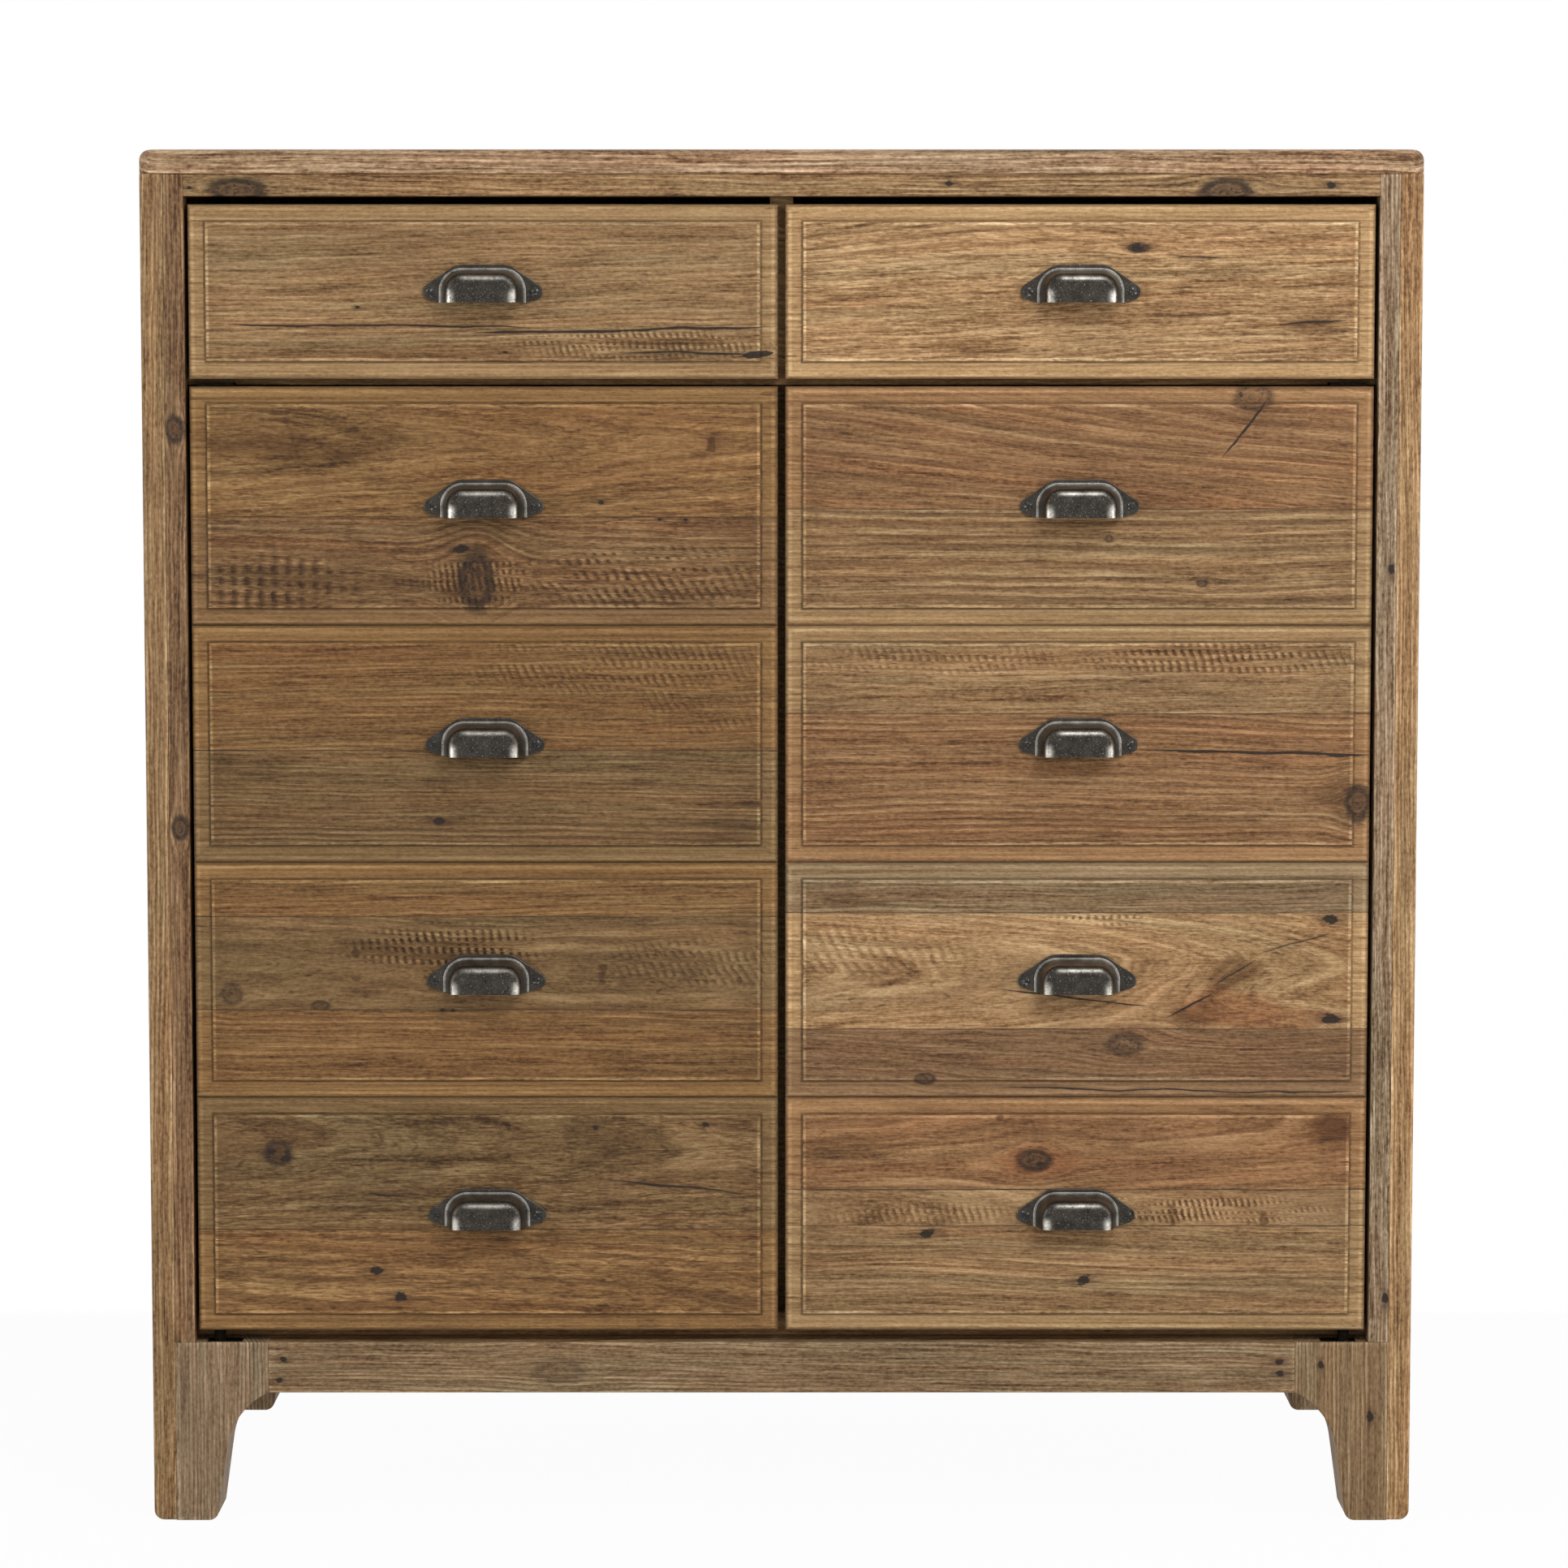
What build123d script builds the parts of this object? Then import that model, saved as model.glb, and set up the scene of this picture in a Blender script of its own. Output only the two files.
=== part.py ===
from build123d import *

import math
import os

# Overall sizes in mm: X to the right, the front towards -Y, Z up from the floor
HEIGHT = 1082.0
TOP_HALF = 500.0
SIDE_OUTER = 499.0
DEPTH = 450.0
PULL_REACH = 22.0
FRONT = (PULL_REACH - DEPTH) / 2

# Carcass boards, depths measured behind the front plane
TOP_THICK = 19.0
TOP_UNDER = HEIGHT - TOP_THICK
TOP_LIP = 2.0
TOP_CORNER_R = 14.0
TOP_EDGE_R = 8.0
SIDE_THICK = 18.0
SIDE_INNER = SIDE_OUTER - SIDE_THICK
SIDE_ARRIS_R = 3.0
STILE_INNER = 465.0
FRAME_THICK = 22.0
RAIL_UNDER = 1045.8
DECK_Z = (900.0, 916.0)
DECK_FRONT = 24.0
FLOOR_Z = (143.4, 161.4)
FLOOR_FRONT = 32.0
BACK_THICK = 12.0
INSIDE_BACK = DEPTH - BACK_THICK
HOUSING = 5.0
REBATE = 8.0
EASE = 0.8

# Cupboard inside: partition, shelves and their pins
PARTITION_HALF = 9.0
PARTITION_FRONT = 60.0
SHELF_Z = (522.0, 540.0)
SHELF_FRONT = 72.0
SHELF_PLAY = 0.5
SHELF_BACK = INSIDE_BACK - 2.0
PIN_R = 3.0
PIN_IN = 8.0
PIN_OUT = 12.0
PIN_DEPTHS = (110.0, 400.0)

# Plinth: apron, feet and their bracket curve, measured in from the outer face
APRON_HALF = 407.0
APRON_UNDER = 103.0
BEARER_UNDER = 112.0
PLINTH_TOP = FLOOR_Z[0]
FOOT_DEEP = 50.0
FOOT_TOE = 50.5
FOOT_KNEE = (58.5, 58.0)
FOOT_REACH = SIDE_OUTER - APRON_HALF
TOE_R = 8.0

# Drawer and door fronts
FRONT_X = (3.0, 462.0)
FRONT_MID = (FRONT_X[0] + FRONT_X[1]) / 2
DRAWER_Z = (904.3, 1039.6)
DOOR_Z = (152.8, 898.6)
ROWS = 4
ROW_HIGH = (DOOR_Z[1] - DOOR_Z[0]) / ROWS
FACE_THICK = 12.0
BORDER = 13.5
STEP = 2.0
FRONT_ARRIS_R = 2.0
FIELD_R = 1.2

# Drawer box and the strips that carry it
BOX_X = (19.5, 452.0)
BOX_BOARD = 12.0
BOX_Z = (920.3, 1024.0)
BOX_BACK = 412.0
BOX_FLOOR_Z = (930.0, 936.0)
GROOVE = 5.0
GROOVE_PLAY = 0.2
RUNNER_SEAT = 920.0
RUNNER_TOP = 938.0
RUNNER_PLAY = 0.5
RUNNER_OUTER = STILE_INNER - 2.0
RUNNER_Y = (26.0, 432.0)

# Cup pull, about the middle of its lower edge: its plate, then half width, height and corner of the cup
PULL_DROP = 8.7
PULL_HIGH = 29.6
EAR_X = 40.4
EAR_Z = 8.6
EAR_R = 6.3
PLATE_HALF = 34.0
PLATE_SLOPE = math.radians(34.0)
SHOULDER_X = 24.5
PLATE_THICK = 2.2
PLATE_EDGE_R = 0.6
BEAD = 0.9
BEAD_THICK = 3.6
CUP_BASE = (33.0, 26.2, 17.0)
CUP_NOSE = (27.0, 21.6, 12.6)
CUP_NOSE_R = 6.4
CUP_INSIDE_R = 4.4
PULL_WALL = 2.4
SCREW_HEAD_R = 3.5
SCREW_SHANK_R = 1.7
SCREW_LONG = 11.0
SCREW_TIP = 2.0
SCREW_DOME = 0.5
SCREW_PLAY = 0.1
SLOT = (3.8, 0.9, 1.0)

# Door pivots: fixed leaves with pins, and leaves let into the doors
PIVOT_X = 446.0
PIVOT_Y = 9.0
PIN_BAR_R = 2.5
LEAF_HOLE_R = 2.55
PIN_CLEAR_R = 3.3
BUSH_R = 4.5
LEAF_X = (428.0, 456.0)
LEAF_Y = (3.5, 18.5)
LEAF_THICK = 2.5
DECK_LEAF_Z = (899.2, 901.7)
DECK_LEAF_BACK = 56.0
FOOT_LEAF_Z = (140.4, 143.4)
BUSH_TOP = 152.7
PIN_ENDS = (159.0, 890.5)
PIN_CLEAR = 1.5
CATCH_X = (14.0, 54.0)
CATCH_Y = (22.4, 40.0)
CATCH_UNDER = 886.0
CATCH_SLOT = (5.0, 3.0, 4.0)

SIDES = {"left": -1, "right": 1}


def across(side, near, far):
    """The X range of a piece on one side, from its distances off the middle."""
    return (min(side * near, side * far), max(side * near, side * far))


def deep(near, far):
    """The Y range of a piece, from its distances behind the front plane."""
    return (FRONT + near, FRONT + far)


def face_plane(x, z, behind=0.0):
    """A plane on the front as seen from outside: its X to the right, its Y up."""
    return Plane(origin=(x, FRONT + behind, z), x_dir=(1, 0, 0), z_dir=(0, -1, 0))


def middle(x, y, z):
    """The centre of a box given by its three ranges."""
    return ((x[0] + x[1]) / 2, (y[0] + y[1]) / 2, (z[0] + z[1]) / 2)


def cut_boxes(boxes):
    """Take boxes away, each given by its X, Y and Z range."""
    for x, y, z in boxes:
        with Locations(middle(x, y, z)):
            Box(x[1] - x[0], y[1] - y[0], z[1] - z[0], mode=Mode.SUBTRACT)


def cut_bores(bores):
    """Take upright round holes away, each given by X, Y, radius and Z range."""
    for x, y, radius, z in bores:
        with Locations((x, y, (z[0] + z[1]) / 2)):
            Cylinder(radius, z[1] - z[0], mode=Mode.SUBTRACT)


def save(shape, label):
    """Name a finished piece and write its file."""
    shape.label = label
    export_step(shape, "parts/" + label + ".step")


def board(label, x, y, z, ease=0.0, boxes=()):
    """A sawn board between two X, two Y and two Z values, with boxes cut from it."""
    with BuildPart() as piece:
        with BuildSketch(Plane.XY.offset(z[0])):
            with Locations(((x[0] + x[1]) / 2, (y[0] + y[1]) / 2)):
                Rectangle(x[1] - x[0], y[1] - y[0])
        extrude(amount=z[1] - z[0])
        if ease:
            fillet(piece.edges(), ease)
        cut_boxes(boxes)
    save(piece.part, label)


def routed_front(label, side, z, thick, boxes=(), bores=()):
    """A front with a raised field inside a lower border, drilled for its pull."""
    mid = side * FRONT_MID
    wide = FRONT_X[1] - FRONT_X[0]
    high = z[1] - z[0]
    centre = (z[0] + z[1]) / 2
    with BuildPart() as piece:
        with BuildSketch(face_plane(mid, centre, thick)):
            Rectangle(wide, high)
        extrude(amount=thick - STEP)
        fillet(piece.faces().sort_by(Axis.Y)[0].edges(), FRONT_ARRIS_R)
        with BuildSketch(face_plane(mid, centre, STEP)):
            Rectangle(wide - 2 * BORDER, high - 2 * BORDER)
        extrude(amount=STEP)
        fillet(piece.faces().sort_by(Axis.Y)[0].edges(), FIELD_R)
        with BuildSketch(face_plane(mid, centre)):
            with Locations((-EAR_X, EAR_Z - PULL_DROP), (EAR_X, EAR_Z - PULL_DROP)):
                Circle(SCREW_SHANK_R + SCREW_PLAY)
        extrude(amount=-SCREW_LONG - SCREW_PLAY, mode=Mode.SUBTRACT)
        cut_boxes(boxes)
        cut_bores(bores)
    save(piece.part, label)


def arch(cup, wider=0.0, drop=0.0):
    """The outline of a cup: a base line, upright sides, round shoulders and a flat top."""
    half, high, radius = (size + wider for size in cup)
    with BuildSketch() as outline:
        with Locations((0, (high - drop) / 2)):
            Rectangle(2 * half, high + drop)
        fillet(outline.vertices().group_by(Axis.Y)[-1], radius)
    return outline.sketch


def plate():
    """The outline of the pull's back plate: sloping shoulders with a round ear at each end."""
    reach = math.hypot(EAR_X - PLATE_HALF, EAR_Z)
    rise = math.atan2(EAR_Z, EAR_X - PLATE_HALF) - math.asin(EAR_R / reach)
    sole_x = EAR_X + EAR_R * math.sin(rise)
    sole_z = EAR_Z - EAR_R * math.cos(rise)
    rim_x = EAR_X + EAR_R * math.sin(PLATE_SLOPE)
    rim_z = EAR_Z + EAR_R * math.cos(PLATE_SLOPE)
    shoulder_z = rim_z + (rim_x - SHOULDER_X) * math.tan(PLATE_SLOPE)
    crown_x = SHOULDER_X - (PULL_HIGH - shoulder_z) / math.tan(PLATE_SLOPE / 2)
    with BuildSketch() as outline:
        with BuildLine():
            Line((-PLATE_HALF, 0), (PLATE_HALF, 0))
            for s in (-1, 1):
                sole = (s * sole_x, sole_z)
                rim = (s * rim_x, rim_z)
                shoulder = (s * SHOULDER_X, shoulder_z)
                Line((s * PLATE_HALF, 0), sole)
                ThreePointArc(sole, (s * (EAR_X + EAR_R), EAR_Z), rim)
                Line(rim, shoulder)
                TangentArc(shoulder, (s * crown_x, PULL_HIGH), tangent=(-s, math.tan(PLATE_SLOPE)))
            Line((-crown_x, PULL_HIGH), (crown_x, PULL_HIGH))
        make_face()
    return outline.sketch


def nose_edges(piece):
    """The edges round the foremost face of a pull, without the one along its open side."""
    return piece.faces().sort_by(Axis.Y)[0].edges().filter_by(lambda e: e.center().Z > 0.2)


def foot_line(sign, edge, start):
    """The bracket curve of a foot in a sketch whose first axis runs along the foot."""
    with BuildLine() as curve:
        toe = Line((edge + sign * FOOT_TOE, start), (edge + sign * FOOT_KNEE[0], FOOT_KNEE[1]))
        TangentArc(toe @ 1, (edge + sign * FOOT_REACH, APRON_UNDER), tangent=toe % 1)
    return curve.line


os.makedirs("parts", exist_ok=True)

# Top board
with BuildPart() as top_panel:
    with BuildSketch(Plane.XY.offset(TOP_UNDER)):
        with Locations((0, FRONT + (DEPTH - TOP_LIP) / 2)):
            Rectangle(2 * TOP_HALF, DEPTH + TOP_LIP)
    extrude(amount=TOP_THICK)
    fillet(top_panel.edges().filter_by(Axis.Z).group_by(Axis.Y)[0], TOP_CORNER_R)
    top_rim = top_panel.faces().sort_by(Axis.Z)[-1].edges().sort_by(Axis.Y)[:-1]
    fillet(top_rim, TOP_EDGE_R)
    under_rim = top_panel.faces().sort_by(Axis.Z)[0].edges().sort_by(Axis.Y)[:-1]
    fillet(under_rim, 2 * EASE)
save(top_panel.part, "top_panel")

# Side panels with their own feet, housings, rebate and pin holes
for name, side in SIDES.items():
    outer = side * SIDE_OUTER
    inner = side * SIDE_INNER
    front_y, back_y = deep(0, DEPTH)
    with BuildPart() as side_panel:
        with BuildSketch(Plane.YZ.offset(min(inner, outer))) as outline:
            with BuildLine():
                Polyline((front_y + FOOT_TOE, 0), (front_y, 0), (front_y, TOP_UNDER), (back_y, TOP_UNDER))
                Polyline((back_y, TOP_UNDER), (back_y, 0), (back_y - FOOT_TOE, 0))
                Line((front_y + FOOT_REACH, APRON_UNDER), (back_y - FOOT_REACH, APRON_UNDER))
                for sign, edge in ((1, front_y), (-1, back_y)):
                    add(foot_line(sign, edge, 0))
            make_face()
            toes = outline.vertices().group_by(Axis.Y)[0].sort_by(Axis.X)[1:3]
            fillet(toes, TOE_R)
        extrude(amount=SIDE_THICK)
        outer_face = side_panel.faces().sort_by(Axis.X)[0 if side < 0 else -1]
        floor_edges = outer_face.edges().filter_by(lambda e: e.center().Z < EASE)
        fillet(floor_edges, TOE_R)
        arris = side_panel.edges().filter_by(Axis.Z).filter_by(
            lambda e: abs(e.center().X - outer) < EASE and e.center().Y < FRONT + EASE
        )
        fillet(arris, SIDE_ARRIS_R)
        housed = across(side, SIDE_INNER, SIDE_INNER + HOUSING)
        rebated = across(side, SIDE_INNER, SIDE_INNER + REBATE)
        cut_boxes(
            [
                (housed, deep(DECK_FRONT, INSIDE_BACK), DECK_Z),
                (housed, deep(FLOOR_FRONT, INSIDE_BACK), FLOOR_Z),
                (rebated, deep(INSIDE_BACK, DEPTH), (PLINTH_TOP, TOP_UNDER)),
            ]
        )
        with BuildSketch(Plane.YZ.offset(inner)):
            with Locations(*((FRONT + y, SHELF_Z[0] - PIN_R) for y in PIN_DEPTHS)):
                Circle(PIN_R)
        extrude(amount=side * PIN_IN, mode=Mode.SUBTRACT)
    save(side_panel.part, name + "_side_panel")

# Face strips beside and over the fronts
for name, side in SIDES.items():
    stile_x = across(side, STILE_INNER, SIDE_INNER)
    board(name + "_front_stile", stile_x, deep(0, FRAME_THICK), (PLINTH_TOP, TOP_UNDER), EASE)
board("top_front_rail", (-STILE_INNER, STILE_INNER), deep(0, FRAME_THICK), (RAIL_UNDER, TOP_UNDER), EASE)

# Deck under the drawers, mortised below for the upper pivot leaves
housed_x = (-SIDE_INNER - HOUSING, SIDE_INNER + HOUSING)
leaf_mortises = [
    (across(side, *LEAF_X), deep(DECK_FRONT, DECK_LEAF_BACK), (DECK_Z[0], DECK_LEAF_Z[1]))
    for side in SIDES.values()
]
board("drawer_deck", housed_x, deep(DECK_FRONT, INSIDE_BACK), DECK_Z, 0, leaf_mortises)

# Cupboard floor, back and uprights
board("bottom_panel", housed_x, deep(FLOOR_FRONT, INSIDE_BACK), FLOOR_Z)
back_half = SIDE_INNER + REBATE
board("back_panel", (-back_half, back_half), deep(INSIDE_BACK, DEPTH), (PLINTH_TOP, TOP_UNDER))
upright_x = (-PARTITION_HALF, PARTITION_HALF)
board("drawer_divider", upright_x, deep(DECK_FRONT, INSIDE_BACK), (DECK_Z[1], TOP_UNDER))
with BuildPart() as centre_partition:
    with BuildSketch(Plane.XY.offset(FLOOR_Z[1])):
        with Locations((0, FRONT + (PARTITION_FRONT + INSIDE_BACK) / 2)):
            Rectangle(2 * PARTITION_HALF, INSIDE_BACK - PARTITION_FRONT)
    extrude(amount=DECK_Z[0] - FLOOR_Z[1])
    for side in SIDES.values():
        with BuildSketch(Plane.YZ.offset(side * PARTITION_HALF)):
            with Locations(*((FRONT + y, SHELF_Z[0] - PIN_R) for y in PIN_DEPTHS)):
                Circle(PIN_R)
        extrude(amount=-side * PIN_IN, mode=Mode.SUBTRACT)
save(centre_partition.part, "centre_partition")

# Loose shelves and the pins they lie on
for name, side in SIDES.items():
    shelf_x = across(side, PARTITION_HALF + SHELF_PLAY, SIDE_INNER - SHELF_PLAY)
    board(name + "_shelf", shelf_x, deep(SHELF_FRONT, SHELF_BACK), SHELF_Z, EASE)
with BuildPart() as shelf_pins:
    for side in SIDES.values():
        for start in (SIDE_INNER - PIN_OUT, PARTITION_HALF - PIN_IN):
            with BuildSketch(Plane.YZ.offset(side * start)):
                with Locations(*((FRONT + y, SHELF_Z[0] - PIN_R) for y in PIN_DEPTHS)):
                    Circle(PIN_R)
            extrude(amount=side * (PIN_IN + PIN_OUT))
save(shelf_pins.part, "shelf_pins")

# Plinth rails
rail_z = (APRON_UNDER, PLINTH_TOP)
rail_x = (-APRON_HALF, APRON_HALF)
board("front_apron", rail_x, deep(0, FRAME_THICK), rail_z, EASE)
board("front_bearer", rail_x, deep(FRAME_THICK, FOOT_DEEP), (BEARER_UNDER, PLINTH_TOP))
board("rear_apron", rail_x, deep(DEPTH - FRAME_THICK, DEPTH), rail_z, EASE)

# Shaped feet, the front pair mortised for the lower pivot leaves
for end, near in (("front", 0.0), ("rear", DEPTH - FOOT_DEEP)):
    for name, side in SIDES.items():
        outer = side * SIDE_OUTER
        inner = side * SIDE_INNER
        with BuildPart() as foot:
            with BuildSketch(face_plane(0, 0, near + FOOT_DEEP)) as outline:
                with BuildLine():
                    shoulder = (side * APRON_HALF, PLINTH_TOP)
                    Polyline((outer - side * FOOT_TOE, 0), (inner, 0), (inner, PLINTH_TOP), shoulder)
                    Line(shoulder, (side * APRON_HALF, APRON_UNDER))
                    add(foot_line(-side, outer, 0))
                make_face()
                toe = outline.vertices().group_by(Axis.Y)[0].sort_by(Axis.X)[-1 if side < 0 else 0]
                fillet(toe, TOE_R)
            extrude(amount=FOOT_DEEP)
            fillet(foot.faces().sort_by(Axis.Y)[0].edges(), EASE)
            if end == "front":
                cut_boxes([(across(side, *LEAF_X), deep(*LEAF_Y), FOOT_LEAF_Z)])
        save(foot.part, end + "_" + name + "_foot")

# Strips on the deck: a seat under each drawer side and a wall beside it
with BuildPart() as drawer_runners:
    for side in SIDES.values():
        for wall, seat in (
            ((PARTITION_HALF, BOX_X[0] - RUNNER_PLAY), (PARTITION_HALF, BOX_X[0] + BOX_BOARD)),
            ((BOX_X[1] + RUNNER_PLAY, RUNNER_OUTER), (BOX_X[1] - BOX_BOARD, RUNNER_OUTER)),
        ):
            for span, top in ((seat, RUNNER_SEAT), (wall, RUNNER_TOP)):
                x = across(side, *span)
                y = deep(*RUNNER_Y)
                with BuildSketch(Plane.XY.offset(DECK_Z[1])):
                    with Locations(((x[0] + x[1]) / 2, (y[0] + y[1]) / 2)):
                        Rectangle(x[1] - x[0], y[1] - y[0])
                extrude(amount=top - DECK_Z[1])
save(drawer_runners.part, "drawer_runners")

# Fixed pivot leaves: the upper pin hangs from the deck, the lower one stands on the foot
with BuildPart() as pivot_brackets:
    for side in SIDES.values():
        x = across(side, *LEAF_X)
        axis = (side * PIVOT_X, FRONT + PIVOT_Y)
        for y, z in ((deep(LEAF_Y[0], DECK_LEAF_BACK), DECK_LEAF_Z), (deep(*LEAF_Y), FOOT_LEAF_Z)):
            with BuildSketch(Plane.XY.offset(z[0])):
                with Locations(((x[0] + x[1]) / 2, (y[0] + y[1]) / 2)):
                    Rectangle(x[1] - x[0], y[1] - y[0])
            extrude(amount=z[1] - z[0])
        for radius, low, high in (
            (PIN_BAR_R, PIN_ENDS[1], DECK_LEAF_Z[0]),
            (BUSH_R, FOOT_LEAF_Z[1], BUSH_TOP),
            (PIN_BAR_R, BUSH_TOP, PIN_ENDS[0]),
        ):
            with BuildSketch(Plane.XY.offset(low)):
                with Locations(axis):
                    Circle(radius)
            extrude(amount=high - low)
save(pivot_brackets.part, "pivot_brackets")

# Catch blocks under the deck that the doors close against
with BuildPart() as door_catches:
    for side in SIDES.values():
        x = across(side, *CATCH_X)
        y = deep(*CATCH_Y)
        with BuildSketch(Plane.XY.offset(CATCH_UNDER)):
            with Locations(((x[0] + x[1]) / 2, (y[0] + y[1]) / 2)):
                Rectangle(x[1] - x[0], y[1] - y[0])
        extrude(amount=DECK_Z[0] - CATCH_UNDER)
    grip_y = deep(CATCH_Y[0], CATCH_Y[0] + CATCH_SLOT[1])
    grip_z = (CATCH_UNDER + CATCH_SLOT[0], CATCH_UNDER + CATCH_SLOT[0] + CATCH_SLOT[2])
    cut_boxes([((-CATCH_X[1], CATCH_X[1]), grip_y, grip_z)])
save(door_catches.part, "door_catches")

# One cast cup pull at the origin of its front, hollow and open below
with BuildPart() as cast_pull:
    with BuildSketch(face_plane(0, 0)):
        add(plate())
    extrude(amount=PLATE_THICK)
    fillet(nose_edges(cast_pull), PLATE_EDGE_R)
    with BuildSketch(face_plane(0, 0)):
        add(arch(CUP_BASE, BEAD))
    extrude(amount=BEAD_THICK)
    fillet(nose_edges(cast_pull), PLATE_EDGE_R)
    with BuildSketch(face_plane(0, 0)):
        add(arch(CUP_BASE))
    with BuildSketch(face_plane(0, 0, -PULL_REACH)):
        add(arch(CUP_NOSE))
    loft()
    fillet(nose_edges(cast_pull), CUP_NOSE_R)
    with BuildSketch(face_plane(0, 0, 1)):
        add(arch(CUP_BASE, -PULL_WALL, 1))
    with BuildSketch(face_plane(0, 0, PULL_WALL - PULL_REACH)):
        add(arch(CUP_NOSE, -PULL_WALL, 1))
    loft(mode=Mode.SUBTRACT)
    inside_y = FRONT + PULL_WALL - PULL_REACH
    inside = cast_pull.faces().filter_by(
        lambda f: abs(f.center().Y - inside_y) < 0.05 and f.normal_at().Y > 0.9
    )
    fillet(inside.edges().filter_by(lambda e: e.center().Z > 0.4), CUP_INSIDE_R)
    for x in (-EAR_X, EAR_X):
        with Locations(face_plane(x, EAR_Z, -PLATE_THICK)):
            CounterSinkHole(SCREW_SHANK_R + SCREW_PLAY, SCREW_HEAD_R + SCREW_PLAY, 2 * PLATE_THICK, 90)

# One cross-head screw about its head's seat
with BuildPart() as screw:
    with BuildSketch(Plane.XZ):
        with BuildLine():
            head = SCREW_HEAD_R
            taper = SCREW_HEAD_R - SCREW_SHANK_R
            tip = -SCREW_LONG - PLATE_THICK
            ThreePointArc((0, SCREW_DOME), (head * 0.6, SCREW_DOME * 0.68), (head, 0))
            Polyline((head, 0), (SCREW_SHANK_R, -taper), (SCREW_SHANK_R, tip + SCREW_TIP))
            Polyline((SCREW_SHANK_R, tip + SCREW_TIP), (0, tip), (0, SCREW_DOME))
        make_face()
    revolve(axis=Axis.Z)
    for turn in (45, 135):
        with BuildSketch(Plane.XY.offset(SCREW_DOME - SLOT[2])):
            Rectangle(SLOT[0], SLOT[1], rotation=turn)
        extrude(amount=2 * SLOT[2], mode=Mode.SUBTRACT)


def pull_seat(x, z):
    """The place of a pull on a front, from the front's middle."""
    return Location((x, 0, z - PULL_DROP))


def screw_seats(x, z):
    """The places of the two screws of one pull, heads outwards."""
    height = z - PULL_DROP + EAR_Z
    return [face_plane(x + ear, height, -PLATE_THICK).location for ear in (-EAR_X, EAR_X)]


def pulls_and_screws(names, x, heights, screws_name):
    """Place a pull on each height of one front line, and all their screws as one piece."""
    for name, z in zip(names, heights):
        with BuildPart() as pull:
            add(cast_pull.part.moved(pull_seat(x, z)))
        save(pull.part, name)
    with BuildPart() as screws:
        for z in heights:
            for seat in screw_seats(x, z):
                add(screw.part.moved(seat))
    save(screws.part, screws_name)


# Drawers: front, box sides, back, bottom, pull and screws
for name, side in SIDES.items():
    drawer = name + "_drawer_"
    floor_z = (BOX_FLOOR_Z[0] - GROOVE_PLAY, BOX_FLOOR_Z[1] + GROOVE_PLAY)
    outer_x = across(side, BOX_X[1] - BOX_BOARD, BOX_X[1])
    inner_x = across(side, BOX_X[0], BOX_X[0] + BOX_BOARD)
    between = across(side, BOX_X[0] + BOX_BOARD, BOX_X[1] - BOX_BOARD)
    floor_x = (between[0] - GROOVE, between[1] + GROOVE)
    floor_slot_x = (floor_x[0] - GROOVE_PLAY, floor_x[1] + GROOVE_PLAY)
    slot = (floor_slot_x, deep(FRAME_THICK - GROOVE, BOX_BACK), floor_z)
    routed_front(drawer + "front", side, DRAWER_Z, FRAME_THICK, [slot])
    side_y = deep(FRAME_THICK, BOX_BACK)
    board(drawer + "outer_side", outer_x, side_y, BOX_Z, 0, [slot])
    board(drawer + "inner_side", inner_x, side_y, BOX_Z, 0, [slot])
    back_y = deep(BOX_BACK - BOX_BOARD, BOX_BACK)
    board(drawer + "back", between, back_y, (floor_z[1], BOX_Z[1]))
    floor_y = deep(FRAME_THICK - GROOVE + GROOVE_PLAY, BOX_BACK)
    board(drawer + "bottom", floor_x, floor_y, BOX_FLOOR_Z)
    centre = (DRAWER_Z[0] + DRAWER_Z[1]) / 2
    pulls_and_screws([drawer + "pull"], side * FRONT_MID, [centre], drawer + "pull_screws")

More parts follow.
